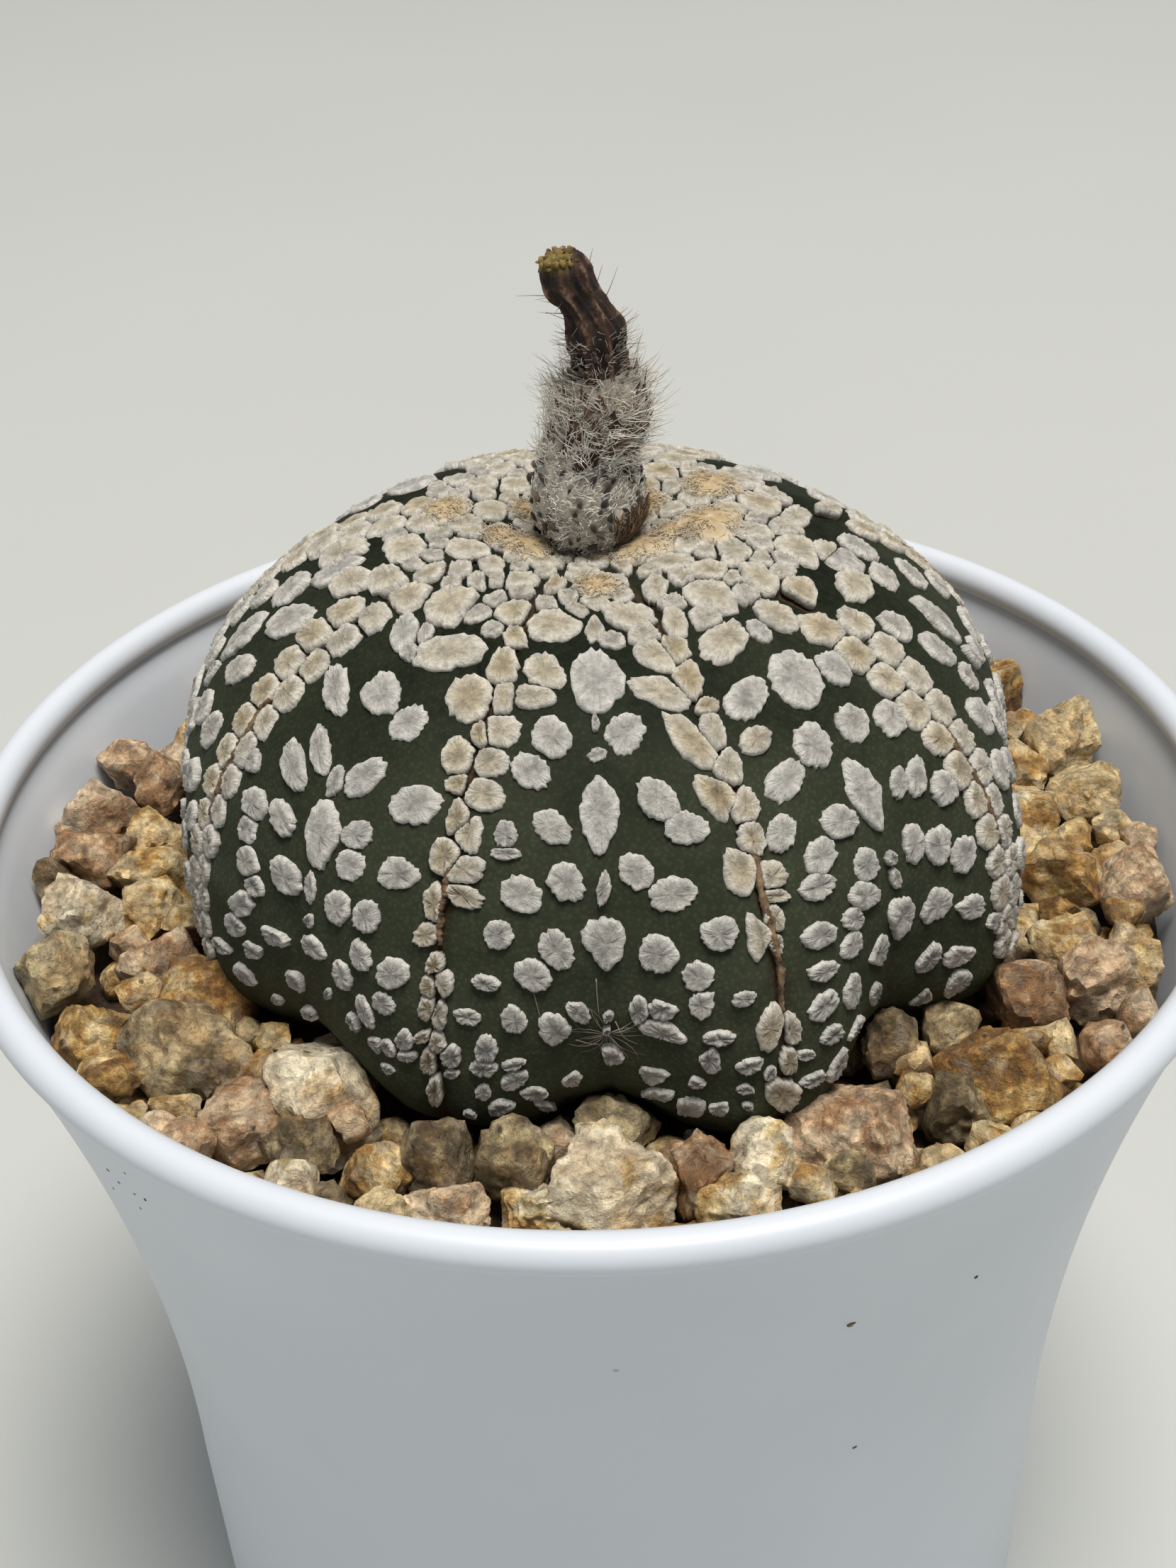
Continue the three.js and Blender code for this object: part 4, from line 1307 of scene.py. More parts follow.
    def scatter(self, face: int, fill: Fill, rng: Generator) -> None:
        """Drops scales on a face and keeps those that clear the others.

        Args:
            face: number of the face.
            fill: where and how they are dropped.
            rng: source of the places.
        """
        start, end = fill.span
        form = self.form
        left, middle, right = form.edges[face], form.areoles[face], form.edges[face + 1]
        for _ in range(fill.tries):
            length, angle = rng.uniform(start, end), rng.uniform(left, right)
            share = (length - start) / (end - start)
            across = (fill.sizes[0] + (fill.sizes[1] - fill.sizes[0]) * share) * rng.uniform(0.8, 1.15)
            along = across * rng.uniform(1.05, 1.45)
            tilt = math.copysign(rng.uniform(15, 55), angle - middle)
            tint = fill.tints[0] + (fill.tints[1] - fill.tints[0]) * share
            scale = self.grow(length, angle, across, along, tilt, tint, rng)
            inside = math.radians(min(angle - left, right - angle)) * form.radius_at(length)
            if inside > 0.7 * across + 0.05 and self.clear(scale, fill.overlap, fill.margin):
                self.scales.append(scale)

    def seam_rows(self, seam: int, rng: Generator) -> None:
        """Two rows of cream scales along a seam, one half a step lower.

        Args:
            seam: number of the seam.
            rng: for their sizes.
        """
        for side in (-1, 1):
            length = self.row_start + (self.row_steps[0] / 2 if side > 0 else 0)
            while length < self.row_end:
                share = (length - self.row_start) / (self.row_end - self.row_start)
                across = np.interp(share, (0, 1), self.row_across) * rng.uniform(0.85, 1.15)
                along = np.interp(share, (0, 1), self.row_along) * rng.uniform(0.95, 1.12)
                offset = math.degrees((across + self.seam_gap) / self.form.radius_at(length))
                tint = np.interp(share, (0, 0.4, 1), (0.55, 0.6, 0.35)) + (0.12 if side < 0 else -0.05)
                scale = self.grow(length, self.form.seams[seam] + side * offset, across, along,
                                  side * rng.uniform(-8, 14), tint, rng)
                if self.clear(scale, 0.6, 0.0):
                    self.scales.append(scale)
                length += np.interp(share, (0, 1), self.row_steps)

    def all_of(self, value: str) -> np.ndarray:
        """One value of all scales, one row a scale."""
        return np.array([getattr(scale, value) for scale in self.scales])

    def grow_all(self) -> None:
        """Places every scale of the stem."""
        rng = default_rng(self.seed)
        for rows, tint in ((DROPS, Tint.WHITE), (FRONT_WHITE, Tint.WHITE), (LEFT_WHITE, Tint.WHITE),
                           (RIGHT_WHITE, Tint.WHITE), (CREAM_SCALES, Tint.CREAM), (TAN_SCALES, Tint.TAN)):
            for row in rows:
                self.read(row, tint, rows is DROPS, rng)
        faces = range(len(self.form.seams))
        for seam in faces:
            if seam not in self.read_seams:
                self.seam_rows(seam, rng)
        for face in faces:
            if face not in self.read_faces:
                for length, across, along in self.marks:
                    self.scales.append(self.grow(length, self.form.areoles[face], across, along, 0,
                                                 Tint.WHITE.value, rng, drop=along > 1.3))
            fills = self.crown_fills if face in self.read_faces else (*self.crown_fills, self.face_fill)
            for fill in fills:
                self.scatter(face, fill, rng)

    @cached_property
    def laid(self) -> tuple[np.ndarray, np.ndarray, np.ndarray, np.ndarray]:
        """Middle, directions right and up, and both half axes in space, one row a scale."""
        length, angle = self.all_of("length"), self.all_of("angle")
        spot = self.form.point(length, angle, 0.0)
        up = unit(self.form.point(length - 0.3, angle, 0.0) - spot)
        right = unit(self.form.point(length, angle + 0.3, 0.0) - spot)
        frame_at = np.stack([right, up], axis=1)
        grown = np.array([self.crowd[s.tint > 0.3] for s in self.scales])[:, None]
        tall = np.einsum("ij,ijk->ik", self.all_of("tall") * grown, frame_at)
        wide = np.einsum("ij,ijk->ik", self.all_of("wide") * grown, frame_at)
        return spot, frame_at, tall, wide

    @staticmethod
    def oval_reach(tall: np.ndarray, wide: np.ndarray, ahead: np.ndarray) -> np.ndarray:
        """Radius of an oval with the given half axes in a direction of length 1, all two numbers wide."""
        cross = tall[..., 0] * wide[..., 1] - tall[..., 1] * wide[..., 0]
        cross = np.where(np.abs(cross) < 1e-6, 1e-6, cross)
        first = (ahead[..., 0] * wide[..., 1] - ahead[..., 1] * wide[..., 0]) / cross
        second = (tall[..., 0] * ahead[..., 1] - tall[..., 1] * ahead[..., 0]) / cross
        return 1 / np.maximum(np.hypot(first, second), 1e-6)

    def outline(self, index: int, spoke: np.ndarray) -> np.ndarray:
        """Cuts a scale's outline back where a neighbour or a seam is in the way.

        Args:
            index: number of the scale.
            spoke: its outline, right and up, one row a spoke.

        Returns:
            The outline's new reach along each spoke, as a part of the old.
        """
        scale = self.scales[index]
        spot, frame_at, tall, wide = self.laid
        reach = np.linalg.norm(spoke, axis=1)
        ahead = spoke / reach[:, None]
        flat = (spot - spot[index]) @ frame_at[index].T
        apart = np.linalg.norm(flat, axis=1)
        near = np.where((apart > 0.05) & (apart < 7))[0]
        towards = flat[near] / apart[near, None]
        gap = self.crown_gap if scale.length < self.crown_end else self.gap
        mine = self.oval_reach(tall[index] @ frame_at[index].T, wide[index] @ frame_at[index].T, towards)
        theirs = self.oval_reach(tall[near] @ frame_at[index].T, wide[near] @ frame_at[index].T, towards)
        border = np.maximum(apart[near] * mine / (mine + theirs) - gap / 2, 0.12)
        facing = ahead @ towards.T
        limit = np.where(facing > 0.08, border / np.maximum(facing, 0.08), 99.0).min(axis=1, initial=99.0)
        _, away = self.to_seam(scale.length, scale.angle)
        if 0.3 < abs(away) < 4 and scale.length > 4:
            facing = ahead[:, 0] * math.copysign(1.0, away)
            line = np.where(facing > 0.08, (abs(away) - self.seam_gap) / np.maximum(facing, 0.08), 99.0)
            limit = np.minimum(limit, line)
        cut = np.minimum(reach, limit)
        soft = cut
        for _ in range(2):
            soft = 0.25 * np.roll(soft, 1) + 0.5 * soft + 0.25 * np.roll(soft, -1)
        return np.minimum(soft, limit) / reach

    def shape(self, chosen: Sequence[int], spokes: int, seed: int) -> Shape:
        """Mesh of some of the scales.

        Args:
            chosen: their numbers.
            spokes: points round each.
            seed: for their outlines.

        Returns:
            Closed chalky pads with ragged edges.
        """
        rng = default_rng(seed)
        scales = [self.scales[i] for i in chosen]
        count = len(scales)
        turns = np.arange(spokes) / spokes * TURN
        slow = sum(rng.normal(0, size, (count, 1)) * np.cos(bends * turns + rng.uniform(0, TURN, (count, 1)))
                   for bends, size in self.bends)
        drop = np.array([s.drop for s in scales])[:, None]
        point = np.maximum(-np.cos(turns), 0)[None]
        outline = 1 + slow + np.where(drop, 0.24 * point ** 8, 0)
        pinch = 1 - np.where(drop, 0.42 * point ** 1.5, 0)
        grown = np.array([self.crowd[s.tint > 0.3] for s in scales])[:, None, None]
        tall, wide = np.array([s.tall for s in scales]), np.array([s.wide for s in scales])
        spoke = grown * ((outline * np.cos(turns))[..., None] * tall[:, None]
                         + (outline * pinch * np.sin(turns))[..., None] * wide[:, None])
        cut = np.array([self.outline(i, spoke[k]) for k, i in enumerate(chosen)])
        # Fibre ends make the free edge ragged; where a neighbour stops it, the edge is cleaner
        free = np.where(cut > 0.97, 1.1, 0.75)
        spoke = spoke * (cut * (1 + rng.normal(0, 0.05, (count, spokes)) * free))[..., None]
        parts = np.array([r for r, _ in self.rings])[None, :, None]
        heights = np.array([h for _, h in self.rings])[None, :, None]
        crease = rng.uniform(-0.7, 0.6, (count, 1, 1)).clip(0)
        side = parts * np.sin(turns)[None, None]
        lift = heights - crease * np.exp(-((side / 0.14) ** 2)) * (parts < 0.9)
        lift = lift + rng.normal(0, 0.15, (count, len(self.rings), spokes)) * (heights > 0)
        flat = parts[..., None] * spoke[:, None]
        raised = np.array([self.raised[s.tint > 0.3] for s in scales]) * rng.uniform(0.8, 1.15, count)
        middle = np.stack([(0.86 - crease[:, 0, 0]) * raised, np.full(count, -0.3)], axis=1)
        lifts = np.concatenate([(lift * raised[:, None, None]).reshape(count, -1), middle], axis=1)
        flat = np.concatenate([flat.reshape(count, -1, 2), np.zeros((count, 2, 2))], axis=1)
        length = np.array([s.length for s in scales])[:, None]
        angle = np.array([s.angle for s in scales])[:, None]
        spots = self.on_skin(length, angle, flat[..., 0], flat[..., 1], lifts)
        rings = len(self.rings)
        out = np.broadcast_to(parts, (count, rings, spokes)).reshape(count, -1)
        out = np.concatenate([out, np.zeros((count, 1)), np.ones((count, 1))], axis=1)
        tint = np.broadcast_to(np.array([s.tint for s in scales])[:, None], out.shape)
        ahead = np.tile(np.stack([np.cos(turns), np.sin(turns)], axis=-1), (rings, 1))
        ahead = np.broadcast_to(np.concatenate([ahead, [[0, 0], [0, 0]]])[None], out.shape + (2,))
        each = np.concatenate([out[..., None], tint[..., None], ahead], axis=-1)
        walls = grid_faces(rings, spokes)
        caps = np.concatenate([fan_faces(rings * spokes, 0, spokes, True),
                               fan_faces(rings * spokes + 1, (rings - 1) * spokes, spokes, False)])
        flip = tall[:, 0] * wide[:, 1] - tall[:, 1] * wide[:, 0] > 0
        start = np.arange(count) * (rings * spokes + 2)
        quads = [(walls if flip[i] else walls[:, ::-1]) + start[i] for i in range(count)]
        threes = [(caps[:, ::-1] if flip[i] else caps) + start[i] for i in range(count)]
        return Shape(spots.reshape(-1, 3), [np.concatenate(quads), np.concatenate(threes)],
                     each.reshape(-1, 4))

    def on_skin(self, length: np.ndarray, angle: np.ndarray, right: np.ndarray, up: np.ndarray,
                lift: np.ndarray) -> np.ndarray:
        """Points beside places of the skin.

        Near the crown the skin is flat and its angles run together, so there the steps are taken
        straight across instead of along the angles.

        Args:
            length: skin length of the places.
            angle: their angle.
            right: steps to the right, millimetres.
            up: steps towards the crown.
            lift: height over the skin.

        Returns:
            The points.
        """
        radius = np.maximum(self.form.radius_at(length), 0.5)
        below = np.maximum(radius - up, 0.05)
        flat_turn = np.degrees(np.arctan2(right, below))
        flat_length = length + np.hypot(right, below) - radius
        near = np.clip((14 - length) / 6, 0, 1)
        turned = near * flat_turn + (1 - near) * np.degrees(right / radius)
        reached = near * flat_length + (1 - near) * (length - up)
        return self.form.point(reached, angle + turned, lift)

    def build(self) -> None:
        """Makes the two pieces of felt scales."""
        self.grow_all()
        for name, low, high in (("white_felt_scales", -1.0, 0.3), ("cream_felt_scales", 0.3, 2.0)):
            chosen = [i for i, s in enumerate(self.scales) if low < s.tint <= high]
            near = [i for i in chosen if abs(self.scales[i].angle) < self.far_angle]
            far = [i for i in chosen if abs(self.scales[i].angle) >= self.far_angle]
            log.info("%s: %d scales", name, len(chosen))
            shape = joined([self.shape(near, self.spokes, 21), self.shape(far, self.far_spokes, 22)])
            piece(name, shape, FeltScale())


@dataclass
class Stem:
    """The stem's skin with its closed base and tap root, and the bark in its oldest seams."""

    form: StemForm
    columns: int = 432
    row_step: float = 0.6
    root_radius: tuple[float, float] = (7.0, 1.6)
    root_height: tuple[float, float] = (71.0, 46.0)

    def skin(self) -> Shape:
        """Closed skin from the crown to the root's tip."""
        form = self.form
        t, reached = form.steps
        radius, _ = form.meridian(t)
        base_end = float(reached[np.where((t > 1) & (radius > self.root_radius[0]))[0][-1]])
        lengths = np.concatenate([np.arange(0.4, 54, self.row_step), np.linspace(54.5, base_end, 14)])
        angles = np.arange(self.columns) * 360 / self.columns
        length, angle = np.meshgrid(lengths, angles, indexing="ij")
        proud = form.relief(length, angle)
        spots = form.point(length, angle, 0.0)
        proud = proud + 0.05 * lumps(spots, 2.4, 3) + 0.09 * lumps(spots, 6.0, 4)
        rings = form.point(length, angle, proud)
        parts = np.linspace(0.02, 1, 16)[:, None]
        turns = np.radians(angles)[None]
        across = self.root_radius[0] + (self.root_radius[1] - self.root_radius[0]) * parts ** 0.7
        across = across * (1 + 0.06 * np.sin(3 * turns + 9 * parts) + 0.04 * np.sin(7 * turns - 14 * parts))
        high = self.root_height[0] + (self.root_height[1] - self.root_height[0]) * parts
        root = np.stack([form.axis[0] + across * np.sin(turns), form.axis[1] - across * np.cos(turns),
                         high + 0 * turns], axis=-1)
        top = form.point(0.1, 0.0, 0.0)
        top[:2] = form.axis[:2]
        tip = np.array([form.axis[0], form.axis[1], self.root_height[1] - 0.8])
        marks = np.zeros((rings[..., 0].size + root[..., 0].size + 2, 4))
        marks[:length.size, 0] = form.seam_line(length, angle).ravel()
        marks[:length.size, 1] = np.clip((length.ravel() - 18) / 26, 0, 1)
        return closed_rings(np.concatenate([rings, root]), top, tip, marks)

    def bark(self) -> Shape:
        """Split corky strips in the seams."""
        rng = default_rng(8)
        shapes = []
        steps, sides = 60, 10
        for seam, (start, end) in zip(self.form.seams, BARK_SPANS):
            length = np.linspace(start, end, steps)[:, None]
            turns = -np.arange(sides) / sides * TURN
            part = (length - start) / (end - start)
            wobble = 0.10 * np.sin(part * 9 + seam) + 0.06 * np.sin(part * 23 + 2 * seam)
            grain = rng.normal(0, 1, (steps, 1)) * 0.2 + rng.normal(0, 1, (steps, sides)) * 0.12
            half = (0.10 + 0.17 * np.sin(math.pi * np.clip(part, 0.02, 0.98)) ** 0.6) * (1 + grain)
            lift = 0.05 + (0.3 + 0.3 * half) * np.sin(turns) * (1 + 0.3 * grain)
            angle = seam + np.degrees((half * np.cos(turns) + wobble) / self.form.radius_at(length))
            rings = self.form.point(length + 0 * angle, angle, lift)
            shapes.append(closed_rings(rings, rings[0].mean(axis=0), rings[-1].mean(axis=0)))
        return joined(shapes)

    def build(self) -> None:
        """Makes the skin and the bark."""
        piece("cactus_skin", self.skin(), Epidermis("cactus_epidermis_waxy"),
              stands_for=["cactus_body"])
        piece("seam_bark", self.bark(), Cork("corky_seam_bark"))


# Woolly pads of the youngest areoles as they lie in the photograph: pixels from its left and top, width
PADS = ((745, 778, 64), (845, 780, 60), (905, 780, 72), (1000, 745, 80), (1005, 690, 70), (843, 832, 52),
        (627, 725, 56))
# Loose dry fibres that lie on the skin, as lines of pixels
FIBRES = (((750, 1386), (755, 1408), (762, 1436)), ((841, 1380), (842, 1404), (845, 1432)),
          ((812, 1466), (838, 1472), (866, 1470)), ((868, 1440), (880, 1462), (900, 1472)))


@dataclass
class CrownWool:
    """Woolly pads at the youngest areoles, and fine hairs low on the front."""

    form: StemForm
    coat: FeltCoat
    hairs_each: int = 150
    half_pixel: float = 0.031  # millimetres of radius for a pixel of width
    far_pads: tuple[float, ...] = (6.0,)
    far_reach: float = 1.5
    seen_turn: float = 80.0  # degrees from the front up to which the photograph shows the pads
    star_place: tuple[float, float] = (44.2, 0.5)  # skin length and degrees from the front
    star_hairs: int = 30

    def pad(self, length: float, angle: float, reach: float, rng: Generator) -> tuple[Shape, Shape]:
        """A mound of felt with short curled hairs that lean outward.

        Args:
            length: skin length from the crown.
            angle: degrees from the front.
            reach: radius of the mound.
            rng: source of the hairs.

        Returns:
            The mound and its hairs.
        """
        tall = 0.42 * reach
        sides = 28
        parts = np.array([0.2, 0.4, 0.6, 0.76, 0.9, 1.0, 1.02])[:, None]
        turns = np.arange(sides)[None] / sides * TURN
        ragged = 1 + 0.14 * np.sin(3 * turns + angle) + 0.06 * np.sin(7 * turns + length)
        height = tall * np.sqrt(np.maximum(1.04 - parts ** 2, 0.0)) + rng.normal(0, 0.05, (7, sides))
        height[-1] = -0.4
        right, up = reach * parts * ragged * np.sin(turns), reach * parts * ragged * np.cos(turns)
        rings = self.coat.on_skin(length, angle, right, up, height)
        ends = self.coat.on_skin(np.array([length, length]), angle, np.zeros(2), np.zeros(2),
                                 np.array([tall, -0.4]))
        marks = np.zeros((parts.size * sides + 2, 4))
        marks[:, 0] = 0.5 + 0.1 * rng.normal(0, 1, len(marks))
        marks[:-2, 0] += np.repeat(0.55 * parts[:, 0] ** 2 - 0.35, sides)
        mound = closed_rings(rings[:, ::-1], ends[0], ends[1], marks)
        count, steps = self.hairs_each, 5
        step = np.linspace(0, 1, steps)[None]
        turn = rng.uniform(0, TURN, (count, 1))
        root = np.sqrt(rng.uniform(0, 1, (count, 1))) * 0.95
        curl, phase = rng.uniform(0.06, 0.2, (count, 1)), rng.uniform(0, TURN, (count, 1))
        out = reach * (root + step * rng.uniform(0.15, 0.5, (count, 1)))
        turn = turn + rng.normal(0, 0.4, (count, 1)) * step
        over = tall * np.sqrt(np.maximum(1 - root ** 2, 0)) - 0.05
        lift = over * (1 - 0.5 * step) + np.sin(step * 2.4) * rng.uniform(0.15, 0.45, (count, 1))
        paths = self.coat.on_skin(length, angle, out * np.sin(turn) + curl * np.sin(step * 7 + phase),
                                  out * np.cos(turn) + curl * np.cos(step * 6 + phase), lift)
        tints = marked(count, np.clip(rng.normal(0.3, 0.18, count) + 0.7 * root[:, 0] ** 2, 0, 1))
        return mound, strands(paths, np.array([0.035, 0.04, 0.035, 0.028, 0.012]), tints)

    def star(self, rng: Generator) -> Shape:
        """Fine grey hairs that lie flat like rays round the low areole of the front face."""
        count, steps = self.star_hairs, 6
        step = np.linspace(0, 1, steps)[None]
        turn = rng.uniform(0, TURN, (count, 1)) + rng.uniform(-0.5, 0.5, (count, 1)) * step ** 2
        out = 0.2 + step * rng.uniform(1.2, 3.6, (count, 1))
        lift = 0.06 + 0.3 * np.sin(step * math.pi) * rng.uniform(0.2, 1.0, (count, 1))
        paths = self.coat.on_skin(*self.star_place, out * np.sin(turn), out * np.cos(turn) * 0.8, lift)
        marks = marked(count, rng.uniform(0.0, 0.3, count))
        return strands(paths, np.linspace(0.024, 0.010, steps), marks)

    def loose(self) -> Shape:
        """Dry fibres that lie on the skin where the photograph shows them."""
        paths = []
        for line in FIBRES:
            spots = [found[2] + found[3] * 0.08 for found in (self.coat.seen.locate(x, y) for x, y in line)
                     if found is not None]
            paths.append(curve_points(np.array(spots), np.linspace(0, 1, 9)))
        marks = np.full((len(paths), 4), 0.12)
        return strands(np.array(paths), np.linspace(0.05, 0.02, 9), marks)

    def build(self) -> None:
        """Makes the pads, their hairs and the low grey hairs."""
        rng = default_rng(17)
        pads = []
        for x, y, wide in PADS:
            found = self.coat.seen.locate(x, y)
            pads.append(self.pad(found[0], found[1], wide * self.half_pixel, rng))
        for areole in self.form.areoles:
            if abs(areole) > self.seen_turn:
                pads += [self.pad(length + rng.uniform(-0.4, 0.4), areole, self.far_reach, rng)
                         for length in self.far_pads]
        piece("areole_pads", joined([mound for mound, _ in pads]), TAN_WOOL)
        piece("areole_pad_hairs", joined([hairs for _, hairs in pads]), TAN_WOOL)
        piece("low_areole_hairs", joined([self.star(rng), self.loose()]), WHITE_WOOL)


@dataclass
class Pebble:
    """One stone of the top dressing."""

    place: np.ndarray
    radius: float
    finish: Granite
    stretch: tuple[float, float, float]


# Large stones as they lie in the photograph: pixels from its left and top, width and height in pixels
PEBBLES: tuple[tuple[int, int, int, int, str], ...] = (
    (870, 1672, 190, 130, "cream"), (1395, 1520, 170, 130, "ochre"), (1195, 1592, 165, 130, "rose"),
    (618, 1640, 110, 130, "grey"), (488, 1520, 160, 175, "cream"), (335, 1580, 135, 110, "rose"),
    (270, 1485, 165, 130, "grey"), (130, 1462, 110, 85, "ochre"), (870, 1572, 105, 80, "grey"),
    (1355, 1560, 85, 110, "grey"), (730, 1645, 110, 100, "grey"), (985, 1655, 100, 110, "rose"),
    (1080, 1645, 100, 90, "cream"), (1050, 1700, 130, 60, "cream"), (620, 1715, 140, 60, "rose"),
    (1195, 1655, 90, 60, "grey"), (420, 1625, 110, 70, "grey"), (300, 1410, 160, 100, "ochre"),
    (230, 1355, 110, 100, "rose"), (120, 1300, 105, 110, "cream"), (70, 1385, 95, 100, "grey"),
    (130, 1215, 120, 80, "rose"), (215, 1280, 90, 80, "ochre"), (85, 1145, 105, 105, "rose"),
    (150, 1075, 90, 70, "rose"), (230, 1110, 70, 75, "rose"), (275, 1040, 60, 60, "ochre"),
    (265, 960, 95, 90, "ochre"), (220, 1180, 85, 70, "ochre"), (45, 1240, 55, 80, "grey"),
    (1440, 1400, 110, 110, "rose"), (1510, 1340, 110, 100, "cream"), (1540, 1385, 90, 130, "rose"),
    (1420, 1200, 110, 90, "ochre"), (1500, 1235, 120, 90, "ochre"), (1600, 1250, 90, 120, "rose"),
    (1450, 1150, 110, 80, "cream"), (1530, 1120, 110, 90, "ochre"), (1440, 1090, 90, 80, "ochre"),
    (1510, 1050, 90, 110, "ochre"), (1450, 950, 90, 110, "ochre"), (1415, 880, 70, 90, "grey"),
    (1600, 1350, 70, 100, "cream"), (1250, 1480, 90, 80, "grey"), (1310, 1440, 90, 60, "grey"),
    (1290, 1500, 60, 60, "ochre"), (1560, 1480, 90, 70, "rose"), (1620, 1440, 60, 60, "rose"),
    (530, 1660, 100, 80, "ochre"), (760, 1700, 100, 70, "cream"), (1330, 1640, 80, 60, "ochre"),
)


@dataclass
class Grit:
    """Top dressing of crushed granite: stones dropped one by one into the ring round the stem."""

    pot: Pot
    form: StemForm
    camera: PhotoCamera
    bed_bottom: float = 70.3
    bed_top: float = 76.4
    surface: float = 82.0
    read_height: float = 80.4
    nudges: int = 60  # steps in which a stone that touches something is moved and made smaller
    sizes: tuple[tuple[float, float, int], ...] = ((3.0, 4.2, 60), (2.2, 3.2, 330), (1.3, 2.1, 420))
    chances: tuple[float, ...] = (0.46, 0.14, 0.16, 0.24)
    finest: int = 20  # large front stones that get the finest mesh
    fine_radius: float = 2.3
    stem_share: float = 0.82  # part of a stone's radius kept off the stem
    wall_share: float = 1.02  # and off the pot's wall
    touch_share: float = 0.86  # part of two radii at which two stones touch
    nestle: float = 0.92  # part of the rise that is left when it has settled between others
    inner_reach: float = 26.0
    tries: int = 7
    stones: list[Pebble] = field(default_factory=list)
    finishes: tuple[Granite, ...] = (OCHRE, ROSE, GREY, CREAM)

    @cached_property
    def stem(self) -> BVHTree:
        """The stem's plain skin, to keep stones out of it."""
        length = np.linspace(0.5, 76, 120)[:, None]
        angle = np.arange(0, 360, 3.0)[None]
        points = self.form.point(length, angle, 0.35)
        return BVHTree.FromPolygons(points.reshape(-1, 3).tolist(), grid_faces(120, 120).tolist())

    def room(self, spot: np.ndarray, radius: float) -> tuple[float, float]:
        """Room that a stone has left towards the stem and towards the pot's wall.

        Args:
            spot: its middle.
            radius: its radius.

        Returns:
            Millimetres to the stem and to the wall, negative where it is in them.
        """
        hit, _, _, away = self.stem.find_nearest(Vector(spot))
        outward = np.array(spot) - np.array(self.form.axis)
        if (np.array(spot) - np.array(hit)) @ outward < 0:
            away = -away
        wall = float(self.pot.inner(spot[2])) - math.hypot(spot[0], spot[1])
        return away - self.stem_share * radius, wall - self.wall_share * radius

    def rest_height(self, x: float, y: float, radius: float) -> float:
        """Height at which a stone comes to lie on those below it.

        Args:
            x: place across.
            y: place along.
            radius: its radius.

        Returns:
            Height of its middle.
        """
        low = self.bed_top + 0.45 * radius
        if not self.stones:
            return low
        spots = np.array([s.place for s in self.stones])
        touch = self.touch_share * (np.array([s.radius for s in self.stones]) + radius)
        apart = np.hypot(spots[:, 0] - x, spots[:, 1] - y)
        under = apart < touch
        if not under.any():
            return low
        rise = np.sqrt(touch[under] ** 2 - apart[under] ** 2) * self.nestle
        return max(low, float((spots[under, 2] + rise).max()))

    def read(self, rng: Generator) -> None:
        """Lays the stones that the photograph shows large.

        Args:
            rng: for what the picture does not tell.
        """
        by_name = {f.name.split("_")[1]: f for f in self.finishes}
        eye = np.array(self.camera.place)
        for x, y, wide, high, family in PEBBLES:
            ray = self.camera.ray(x, y)
            spot = eye + ray * (self.read_height - eye[2]) / ray[2]
            scale = (spot - eye) @ self.camera.axes[2] / self.camera.focal
            radius = 0.25 * (wide + 1.15 * high) * scale
            spot[2] += rng.uniform(-0.7, 0.5)
            for _ in range(self.nudges):
                to_stem, to_wall = self.room(spot, radius)
                if min(to_stem, to_wall) >= 0:
                    break
                spot[:2] *= 1.006 if to_stem < to_wall else 0.994
                radius *= 0.992
            else:
                continue
            stretch = (wide * scale / 2 / radius, 1.0, 1.1 * high * scale / 2 / radius)
            self.stones.append(Pebble(spot, radius, by_name[family],
                                      tuple(float(np.clip(s, 0.85, 1.12)) for s in stretch)))

    def drop(self, rng: Generator) -> None:
        """Fills the room between the large stones, largest first.

        Args:
            rng: source of the places and sizes.
        """
        for radius in np.concatenate([rng.uniform(low, high, count) for low, high, count in self.sizes]):
            best = None
            for _ in range(self.tries):
                angle = rng.uniform(0, TURN)
                outer = float(self.pot.inner(80.0)) - radius
                reach = math.sqrt(rng.uniform(self.inner_reach ** 2, outer ** 2))
                x, y = reach * math.sin(angle), -reach * math.cos(angle)
                z = self.rest_height(x, y, radius)
                if z + 0.75 * radius > self.surface + rng.uniform(-0.6, 0.6):
                    continue
                if best is not None and z >= best[2]:
                    continue
                if min(self.room(np.array([x, y, z]), radius)) > 0:
                    best = np.array([x, y, z])
            if best is not None:
                finish = self.finishes[int(rng.choice(4, p=self.chances))]
                stretch = (rng.uniform(0.9, 1.15), rng.uniform(0.85, 1.1), rng.uniform(0.75, 0.95))
                self.stones.append(Pebble(best, float(radius), finish, stretch))

